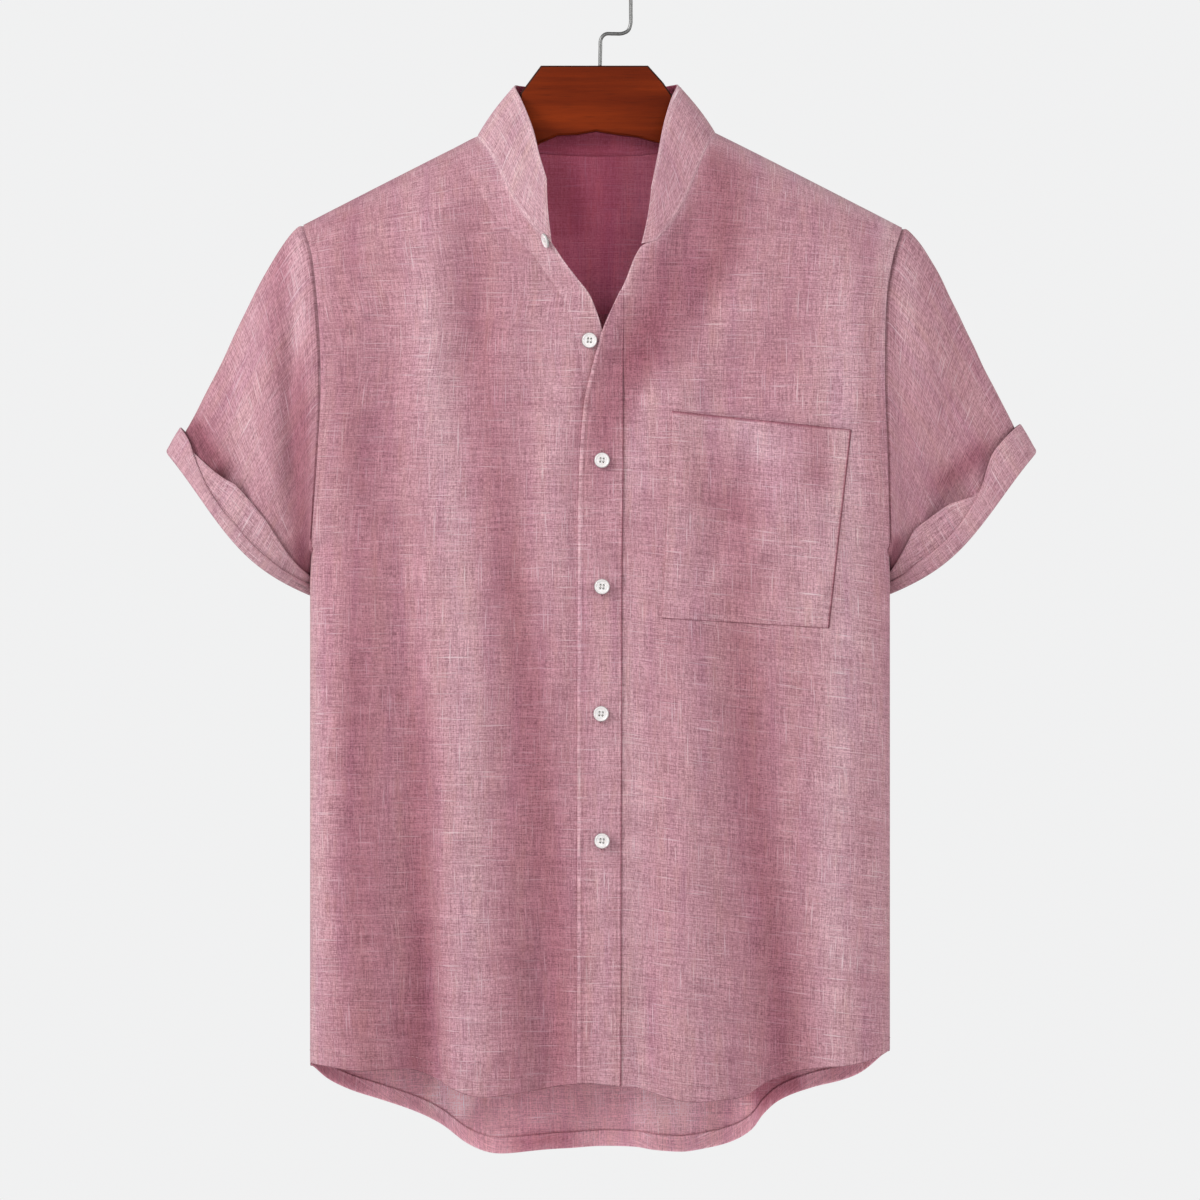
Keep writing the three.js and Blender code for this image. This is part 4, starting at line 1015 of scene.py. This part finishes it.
def sew_column(grid, n, column, first, last=None):
    """Stitches a line down a column and presses it in."""
    stitch(grid[first:last, column], n[first:last, column])
    grid[first:, column] -= n[first:, column] * 0.25


# Pieces

def dress(obj, node=None):
    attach(obj, "root")
    if node:
        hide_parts(node)


def finish_cloth(obj, node, flat, **options):
    dress(obj, node)


def shade_faces(obj, rows, cols, picked):
    """Gives the picked rows and columns of a grid's faces the second material."""
    index = np.zeros((rows - 1, cols - 1), np.int32)
    index[picked] = 1
    obj.data.polygons.foreach_set("material_index", index.ravel())


def linen_looks():
    """The cloth's outside, and its inside at the fronts, at the hem and at the neck, the insides with painted
    light and shade.
    """
    # linen_inside is painted a little darker and redder, as shade
    return (linen("linen"), linen("linen_inside", tone=(0.94, 0.82, 0.88), contrast=0.8),
            # The back's inside is painted much lighter, and painted darker towards its top
            linen("linen_back_inside_painted_shading", tone=(1.85, 1.75, 1.78), contrast=0.8,
                  fade=(-0.62, -0.45, (0.85, 0.5, 0.6)), tone_name="tone_inside"),
            # The yoke's inside is painted a strong deep red for the shade and bounced light inside the neck,
            # darker towards its top
            linen("linen_yoke_inside_painted_shading", tone=(2.3, 1.02, 1.38), contrast=0.6,
                  fade=(-0.24, -0.15, (0.74, 0.7, 0.7)), tone_name="tone_inside"))


def build_body(outside, inside, back_inside, yoke_inside):
    (right, right_uv), (left, left_uv) = front_grid(-1), front_grid(1)
    (back, back_uv), (yoke, yoke_uv) = back_grid(), yoke_grid()
    rn, ln, bn, yn = facing(right, -1), facing(left, -1), facing(back, 1), facing(yoke, 1)
    hem_row = HEM_PLACES.index(HEM_STITCH)
    arm_row = int(np.argmax(right[:, 0, 2] > ARMPIT))
    neck_row = int(np.argmax(right[:, -1, 2] > NECK_FOLD_FOOT))
    last = right.shape[1] - 1
    for grid, n in ((right, rn), (left, ln), (back, bn)):
        stitch(grid[hem_row], n[hem_row])
        grid[hem_row] -= n[hem_row] * 0.28
    for grid, n in ((right, rn), (left, ln)):
        sew_column(grid, n, 4, arm_row)
        pucker(grid, n, [1, 2, 3, 5, 6], arm_row, 0.22, 31)
    sew_column(right, rn, last - 7, neck_row, -ROUND_CELLS)
    pucker(right, rn, range(last - 5, last), neck_row, 0.45, 7)
    yoke[:4] += yn[:4] * np.array([0.9, 1.0, 0.9, 0.55])[:, None, None]
    yoke[:3, :, 2] -= np.array([2.2, 1.4, 0.6])[:, None]
    stitch(yoke[3], yn[3])

    for name, grid, uv, way, size, area in (
            ("front_right", right, right_uv, -1, (0.285, 0.735), 0.185),
            ("front_left", left, left_uv, -1, (0.285, 0.735), 0.190),
            ("back", back, back_uv, 1, (0.530, 0.665), 0.325)):
        sign = 1 if np.mean(normals(grid)[:, :, 1]) * way > 0 else -1
        rows, cloth_map = turned_edge(grid, uv, 7, 0.95, sign)
        x, z = rows[:, :, 0], rows[:, :, 2]
        tone = fold_painted_shading(x, z, name == "back")
        # Painted highlight along the fronts' free edges from the neck fold up
        if name != "back":
            tone[neck_row:, -3:] *= (1.1, 1.2, 1.25)
        # Painted light on the right front's lip at the neck
        if name == "front_right":
            tone[neck_row:, -8:] *= 1.06
        # Painted shadow along the fold of the hem
        tone[8:10] *= 0.74
        looks = [outside, back_inside if name == "back" else inside]
        obj = cloth_object("cloth_" + name, [(rows, cloth_map)], looks, [tone],
                           [1 + crease_out(HEM_INSIDE_PAINTED_SHADING, x, z)], flip=sign < 0)
        # The turned-in hem rows take the inside material, with its painted light and shade
        shade_faces(obj, *rows.shape[:2], slice(0, 8))
        finish_cloth(obj, name, size, area=area, rests_on=["hanger_board"])
    x, z = yoke[:, :, 0], yoke[:, :, 2]
    obj = cloth_object("cloth_back_yoke", [(yoke, yoke_uv)], [outside, yoke_inside],
                       [fold_painted_shading(x, z, True)], [1 + crease_out(YOKE_INSIDE_PAINTED_SHADING, x, z)],
                       flip=bool(np.mean(normals(yoke)[:, :, 1]) < 0))
    finish_cloth(obj, "back_yoke", (0.480, 0.215), area=0.070, rests_on=["hanger_board"])
    return right, left, yoke


def build_placket(outside, inside):
    """Strip over the left front's free edge, folded round it."""
    row, angle = front_rows()
    inner = free_edge(row, 1, len(angle))
    heights = row(inner)
    width = np.maximum(read(PLACKET_LINE, heights) - inner, 0.8)
    from_edge = np.concatenate([[0, 0.5, 1.4, 2.4, 2.9, 3.4, 4.6], np.linspace(6, 25, 16),
                                [26.6, 27.7, 28.2, 28.7, 29.8, 30.6, PLACKET_WIDTH]])
    x = inner[:, None] + width[:, None] * from_edge / PLACKET_WIDTH
    stop = int(np.argmax(heights > PLACKET_TOP))
    inner, heights, width, x, z = [values[:stop] for values in (inner, heights, width, x, row(x))]
    base = np.stack([x, front_y(x, z, 1), z], 2)
    n = facing(base, -1)
    from_line = PLACKET_WIDTH - from_edge
    fade = (0.15 + 0.85 * smooth((-246 - heights) / 70))[:, None]
    lift = 1.15 + 0.12 * np.sin(heights / 23)[:, None] + 0.35 * bell(from_edge, 0, 1.6)
    lift = lift - 0.45 * bell(from_edge, 2.9, 0.6) - 0.45 * bell(from_line, 2.8, 0.6)
    lift = lift - 0.35 * bell(from_line, 0, 0.5)
    lift = (lift + 0.35 * ripple(z * 2.2, x * 0.5, 41, 0.5)) * fade
    grid = base + n * lift[:, :, None]
    for column in (4, len(from_edge) - 5):
        stitch(grid[width > 14, column], n[width > 14, column])
    out = unit(base[:, :1] - base[:, 2:3]) * fade[:, :, None]
    up = n[:, :1] * fade[:, :, None]
    wrap = [base[:, :1] + out * a + up * b for a, b in PLACKET_FOLD]
    full = np.concatenate(wrap + [grid[:, 1:]], 1)
    u = np.concatenate([inner[:, None] + (-9.0, -5.0, -2.2, -1.4, -0.8, -0.2, 0.3), x[:, 1:]], 1)
    v = np.concatenate([np.repeat(z[:, :1], len(wrap), 1), z[:, 1:]], 1)
    tone = fold_painted_shading(full[:, :, 0], full[:, :, 2])
    # Painted highlight along the folded edge and painted shadow along the inner edge
    tone[:, 2:8] *= 1.16
    tone[:, -2:] *= (0.6, 0.3)
    obj = cloth_object("cloth_placket", [(full, np.stack([u, v], -1))], [outside, inside], [tone],
                       flip=bool(np.mean(normals(full)[:, 10:, 1]) > 0))
    finish_cloth(obj, "placket", (0.040, 0.600), rests_on=["front_left"])


def pocket_grid():
    """Points of the pocket over the left front, its mouth standing off a little."""
    s = np.concatenate([POCKET_PLACES, np.linspace(8, 126, 44), POCKET_WIDE - np.array(POCKET_PLACES[::-1])])
    w = np.concatenate([POCKET_PLACES, np.linspace(8, 132, 44), POCKET_MOUTH_PLACES])
    ss, ww = np.meshgrid(s / POCKET_WIDE, w / POCKET_HIGH)
    (foot_x, foot_z, foot_slope), (mouth_x, mouth_z, mouth_slope) = POCKET_FOOT, POCKET_MOUTH
    x = mix(mix(foot_x, mouth_x, ww), mix(*POCKET_SIDE, ww), ss)
    z = mix(foot_z + foot_slope * (x - foot_x), mouth_z + mouth_slope * (x - mouth_x), ww)
    border = np.minimum(np.minimum(ss, 1 - ss) * POCKET_WIDE, ww * POCKET_RISE)
    puff = smooth(border / 16)
    lift = 0.95 + 0.5 * puff + 1.5 * bell((1 - ww) * POCKET_RISE, 0, 26) * np.sin(math.pi * ss) ** 0.8
    lift = lift + 0.5 * puff * ripple(x * 1.1, z * 1.2, 21, 0.9) - 0.45 * (1 - np.minimum(border / 0.8, 1))
    lift = lift - 0.3 * bell(border, 2.4, 0.7) - 0.3 * bell((1 - ww) * POCKET_HIGH, 17.4, 1)
    return np.stack([x, front_y(x, z, 1) - lift, z], 2), np.stack([x, z + 0.1 * (x - 50)], -1)


def build_pocket(outside, inside):
    grid, uv = pocket_grid()
    n = facing(grid, -1)
    for column in (3, -4):
        stitch(grid[:-2, column], n[:-2, column], lift=0.4)
    for row in (3, -9):
        stitch(grid[row], n[row], lift=0.4)
    x, z = grid[:, :, 0], grid[:, :, 2]
    # Painted light and shade, a little lighter overall
    tone = (fold_painted_shading(x, z) + crease_out(POCKET_PAINTED_SHADING, x, z)) * 1.05
    # Painted shadow lines along the right edge, the mouth and the foot, fainter along the left edge
    tone[:, -3:] *= (0.9, 0.42, 0.3)
    tone[-2:] *= np.array([0.65, 0.45])[:, None]
    tone[0] *= 0.65
    tone[:, 0] *= 0.85
    obj = cloth_object("cloth_pocket", [(grid, uv)], [outside, inside], [tone],
                       flip=bool(np.mean(normals(grid)[:, :, 1]) > 0))
    finish_cloth(obj, "pocket", (0.134, 0.158), rests_on=["front_left"])


def build_collar(outside, yoke_inside, right, left, yoke):
    grid, uv = collar_grid(*collar_lines(right, left, yoke))
    n = normals(grid)
    rows, cols = grid.shape[:2]
    sign = 1 if n[rows - 6, cols // 2, 1] > 0 else -1
    stitch(grid[-4], n[-4] * sign, lift=0.4)
    stitch(grid[14], n[14] * sign, lift=0.38)
    # Painted light: the collar lighter, more on the wearer's right, with painted highlights on its rim, its
    # ends and near its foot outside; its inside painted darker, and the rear of it takes the yoke's painted
    # inside
    tone = np.where(grid[:, :, 0] < 0, 1.2, 1.08)
    tone[12:15] *= 1.2
    tone[:, :2] *= 1.15
    tone[:, -2:] *= 1.15
    tone[-4:] *= 1.08
    obj = cloth_object("cloth_collar", [(grid, uv)], [outside, yoke_inside], [tone],
                       [0.84 + crease_out(YOKE_INSIDE_PAINTED_SHADING, grid[:, :, 0], grid[:, :, 2])],
                       thickness=0.6, flip=sign < 0)
    obj.modifiers["thickness"].material_offset = 0
    rear = grid[:, :-1, 1].mean(0) > 8
    shade_faces(obj, rows, cols, np.ix_(range(12), rear))
    finish_cloth(obj, "collar", (0.470, 0.095), area=0.040, rests_on=["back_yoke"])


def ring_flip(grid, row):
    """Whether a tube's normals at a row point inwards."""
    return bool(np.dot(normals(grid, ring=True)[row, 0], grid[row, 0] - grid[row].mean(0)) < 0)


def build_sleeves(outside, inside):
    for side, word in ((-1, "right"), (1, "left")):
        grid, uv = sleeve_grid(side)
        # Painted light and shade on the sleeves
        tone = 1 + crease_out(SLEEVE_PAINTED_SHADING[side], grid[:, :, 0], grid[:, :, 2])
        obj = cloth_object("cloth_sleeve_" + word, [(grid, uv)], [outside, inside], [tone],
                           ring=True, flip=ring_flip(grid, 20))
        finish_cloth(obj, "sleeve_" + word, (0.530, 0.175), area=0.042)
        parts = [end_strip(side, LONG_TURN[side], 2.6, 1.2, [14, 7, 2]),
                 end_strip(side, SHORT_TURN[side], 4.7, 2.0, [])]
        # The cuffs painted lighter
        tones = [np.full(rings.shape[:2], CUFF_PAINTED_LIGHT[side]) for rings, _ in parts]
        obj = cloth_object("cloth_cuff_" + word, parts, [outside], tones, thickness=1.1,
                           ring=True, flip=ring_flip(parts[0][0], -6))
        finish_cloth(obj, "cuff_" + word, (0.350, 0.075), area=0.0210)


def button_mesh():
    """Four-hole button with a rounded rim, facing +Z: points, faces and tones, with painted shade on the rim's
    outer wall, in the holes and underneath.
    """
    turns = np.linspace(0, 2 * math.pi, BUTTON_SIDES, endpoint=False)
    points = [(0, 0, 0.42)]
    tones = [1.0]
    for r in np.concatenate([np.linspace(0.35, 3.2, 16), np.linspace(3.4, BUTTON_RADIUS, 14)]):
        dish = 0.42 + 0.12 * (r / 3.5) ** 2 if r < 3.6 else 0.54 - 0.1 * (r - 3.6)
        top = dish + 0.62 * bell(r, 4.9, 0.62) - (max(r - 5.1, 0) / (BUTTON_RADIUS - 5.1)) ** 2.6
        for t in turns:
            x, y = r * math.cos(t), r * math.sin(t)
            hole = math.hypot(abs(x) - BUTTON_HOLE, abs(y) - BUTTON_HOLE)
            points.append((x, y, top - 1.5 / (1 + math.exp((min(hole, 9) - 0.66) / 0.06))))
            # Painted shade: darker on the rim's outer wall and in the holes
            tones.append((1 - 0.55 * smooth((r - 5.1) / 0.6)) * (0.4 if hole < 0.72 else 1.0))
    for r, h in ((5.72, -0.25), (5.2, -1.0), (4.0, -1.3)):
        points += [(r * math.cos(t), r * math.sin(t), h) for t in turns]
    rings = (len(points) - 1) // BUTTON_SIDES
    points.append((0, 0, -1.3))
    tones += [0.45] * (len(points) - len(tones))
    faces = (grid_faces(rings, BUTTON_SIDES, ring=True)[:, [0, 3, 2, 1]] + 1).tolist()
    last = len(points) - 1
    for k in range(BUTTON_SIDES):
        j = (k + 1) % BUTTON_SIDES
        faces.append((0, 1 + k, 1 + j))
        faces.append((last, last - BUTTON_SIDES + j, last - BUTTON_SIDES + k))
    return np.array(points), faces, tones


def button_places():
    """Each button's name, middle and facing, and where the buttonholes under the placket's buttons lie."""
    placed, holes = [], []
    for name, x, z in BUTTONS:
        low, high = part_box(name)
        side = -1 if name == "button_2" else 1

        def at(dx, dz):
            place = np.array([x + dx]), np.array([z + dz])
            return np.array([x + dx, float(front_y(*place, side)[0]), z + dz])
        face = unit(np.cross(at(0, 6) - at(0, -6), at(6, 0) - at(-6, 0)))
        face = BUTTON_1_FACE if name == "button_1" else face * -np.sign(face[1])
        placed.append((name, np.array((low + high) / 2) / MM, face))
        if name not in ("button_1", "button_2"):
            holes.append((at(0, 0) + face * 1.15, face))
    return placed, holes


def build_buttons(placed):
    shell = button_material()
    cotton = thread_material("button_thread", 1100.0, 0.3, 0.4, (0.42, 0.40, 0.39), (0.66, 0.62, 0.60))
    points, faces, tones = button_mesh()
    for name, middle, face in placed:
        axis_z = Vector(face).normalized()
        axis_x = Vector((math.sin(BUTTON_SPIN), 0, math.cos(BUTTON_SPIN))).cross(axis_z).normalized()
        axes = np.array([axis_x, axis_z.cross(axis_x), axis_z])
        obj = add_mesh("shell_" + name, points @ axes + middle, faces, [shell])
        add_painted_shading(obj, "tone", tones)
        dress(obj, name)
        strands = [((x, -1.3, 0.45), (x, 1.3, 0.45), axes[2]) for x in (-1.4, -0.96, 0.96, 1.4)]
        shank = [((x, 0, -1.25), (x, 0.01, -3.0), axes[0]) for x in (-0.5, 0.5)]
        for word, ends, radius in (("thread_", strands, 0.26), ("shank_", shank, 0.5)):
            laid = [(np.array(a) @ axes + middle, np.array(b) @ axes + middle, n) for a, b, n in ends]
            dress(thread_object(word + name, laid, cotton, radius))


def build_buttonholes(holes, thread):
    """Close zigzag stitching round upright buttonholes."""
    rungs = [((side * 0.35, h), (side * 1.5, h + 0.1)) for side in (-1, 1) for h in np.linspace(-7.4, 7.4, 26)]
    rungs += [((-1.4, end * h), (1.4, end * h)) for end in (-1, 1) for h in (7.5, 7.85, 8.2, 8.55)]
    strands = []
    for p, n in holes:
        for ends in rungs:
            a, b = [p + (x, 0, z) + n * 0.42 for x, z in ends]
            strands.append((a, b, n))
    dress(thread_object("buttonholes", strands, thread, radius=0.3))


def build_board(node):
    """The part's own board with its edges rounded, raised where the collar shows under it."""
    mesh = node.data.copy()
    obj = bpy.data.objects.new("board", mesh)
    bpy.context.scene.collection.objects.link(obj)
    mesh.materials.clear()
    mesh.materials.append(wood_material())
    mesh.materials.append(wood_edge_material())
    co = np.empty(len(mesh.vertices) * 3)
    mesh.vertices.foreach_get("co", co)
    co = co.reshape(-1, 3) / MM
    away = np.abs(co[:, 0])
    under = (co[:, 2] < BOARD_FOOT) & (away < 75)
    co[:, 2] += 5.0 * under * smooth((away - 18) / 26) * smooth((75 - away) / 20)
    mesh.vertices.foreach_set("co", (co * MM).ravel())
    for face in mesh.polygons:
        face.material_index = 1 if abs(face.normal.y) < 0.95 and face.center.z > BOARD_EDGE_FOOT * MM else 0
    obj.modifiers.new("weld", "WELD").merge_threshold = 0.02 * MM
    bevel = obj.modifiers.new("bevel", "BEVEL")
    bevel.width = 0.5 * MM
    bevel.segments = 3
    bevel.limit_method = "ANGLE"
    bevel.angle_limit = math.radians(25)
    dress(obj, "hanger_board")


def build_hook():
    points = list(HOOK_SHANK)
    for turn in np.radians(np.arange(0, HOOK_END + 1, 10)):
        points.append((HOOK_BEND * math.cos(turn), HOOK_WIRE - HOOK_BEND * (1 - math.sin(turn))))
    path = catmull([(x, 0, z) for x, z in points], np.linspace(0, len(points) - 1, 220))
    side = np.array([0.0, 1.0, 0.0])
    angles = np.linspace(0, 2 * math.pi, 16, endpoint=False)[:, None]
    radii = HOOK_WIRE * np.concatenate([np.ones(len(path) - 4), [0.98, 0.9, 0.7, 0.25]])
    rings = np.array([p + r * (np.cos(angles) * side + np.sin(angles) * np.cross(t, side))
                      for p, r, t in zip(path, radii, unit(np.gradient(path, axis=0)))])
    rows, cols = rings.shape[:2]
    faces = grid_faces(rows, cols, ring=True).tolist()
    faces.append(range(cols - 1, -1, -1))
    faces.append(range((rows - 1) * cols, rows * cols))
    dress(add_mesh("hook", rings.reshape(-1, 3), faces, [steel_material()]), "hanger_hook")


# Stage

def area_light(name, location, target, size, power):
    data = bpy.data.lights.new(name, "AREA")
    data.shape = "RECTANGLE"
    data.size, data.size_y = size
    data.energy = power
    obj = bpy.data.objects.new(name, data)
    obj.location = location
    obj.rotation_euler = (Vector(target) - Vector(location)).to_track_quat("-Z", "Y").to_euler()
    bpy.context.scene.collection.objects.link(obj)


def build_world(scene):
    """Soft white light, and a pale backdrop for the camera alone."""
    scene.world = bpy.data.worlds.new("studio")
    scene.world.use_nodes = True
    tree = scene.world.node_tree
    soft = tree.nodes["Background"]
    soft.inputs["Color"].default_value = (1, 1, 1, 1)
    soft.inputs["Strength"].default_value = 0.33
    wall = tree.nodes.new("ShaderNodeBackground")
    wall.inputs["Color"].default_value = (0.875, 0.877, 0.88, 1)
    seen = tree.nodes.new("ShaderNodeLightPath")
    both = tree.nodes.new("ShaderNodeMixShader")
    tree.links.new(seen.outputs["Is Camera Ray"], both.inputs[0])
    tree.links.new(soft.outputs[0], both.inputs[1])
    tree.links.new(wall.outputs[0], both.inputs[2])
    tree.links.new(both.outputs[0], tree.nodes["World Output"].inputs["Surface"])


def build_stage():
    scene = bpy.context.scene
    scene.view_settings.view_transform = "Standard"
    build_world(scene)
    area_light("key", (-2.9, -1.7, 1.2), (0, 0, -0.45), (1.5, 1.7), 110)
    area_light("neck", (-0.6, -1.6, 0.15), (0.02, 0.03, -0.18), (0.3, 0.3), 3)
    area_light("front", (0.9, -3.4, -0.1), (0, 0, -0.5), (1.6, 1.6), 23)
    area_light("side", (2.9, -0.9, 0.2), (0, 0, -0.5), (0.8, 1.6), 35)

    m = Nodes("floor_paint")
    speck = m.noise(m.place(), 3.0, 2.0)
    bpy.ops.mesh.primitive_circle_add(vertices=96, radius=3.0, fill_type="NGON", location=(0, 0, FLOOR))
    floor = bpy.context.object
    floor.name = "floor"
    floor.data.materials.append(m.set(color=m.blend(speck, (0.80, 0.80, 0.80), (0.84, 0.84, 0.84)), rough=0.7))

    data = bpy.data.cameras.new("camera")
    data.lens = 160
    data.sensor_width = 36
    data.clip_end = 50
    camera = bpy.data.objects.new("camera", data)
    camera.location = CAMERA
    camera.rotation_euler = (math.radians(90), 0, 0)
    scene.collection.objects.link(camera)
    scene.camera = camera


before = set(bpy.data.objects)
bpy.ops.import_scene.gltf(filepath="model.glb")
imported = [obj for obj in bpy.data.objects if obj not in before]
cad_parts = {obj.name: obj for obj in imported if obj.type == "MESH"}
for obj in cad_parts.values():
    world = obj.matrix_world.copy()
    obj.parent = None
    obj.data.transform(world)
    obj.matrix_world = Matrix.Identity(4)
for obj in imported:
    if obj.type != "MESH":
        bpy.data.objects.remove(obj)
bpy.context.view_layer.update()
build_stage()
outside, inside, back_inside, yoke_inside = linen_looks()
right, left, yoke = build_body(outside, inside, back_inside, yoke_inside)
build_placket(outside, inside)
build_pocket(outside, inside)
build_collar(outside, yoke_inside, right, left, yoke)
build_sleeves(outside, inside)
placed, holes = button_places()
build_buttons(placed)
thread = thread_material("thread", 900.0, 0.4, 0.3, (0.36, 0.15, 0.185), (0.52, 0.27, 0.31), sheen=0.1)
build_buttonholes(holes, thread)
dress(thread_object("stitching", STITCHES, thread))
build_board(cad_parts["hanger_board"])
build_hook()
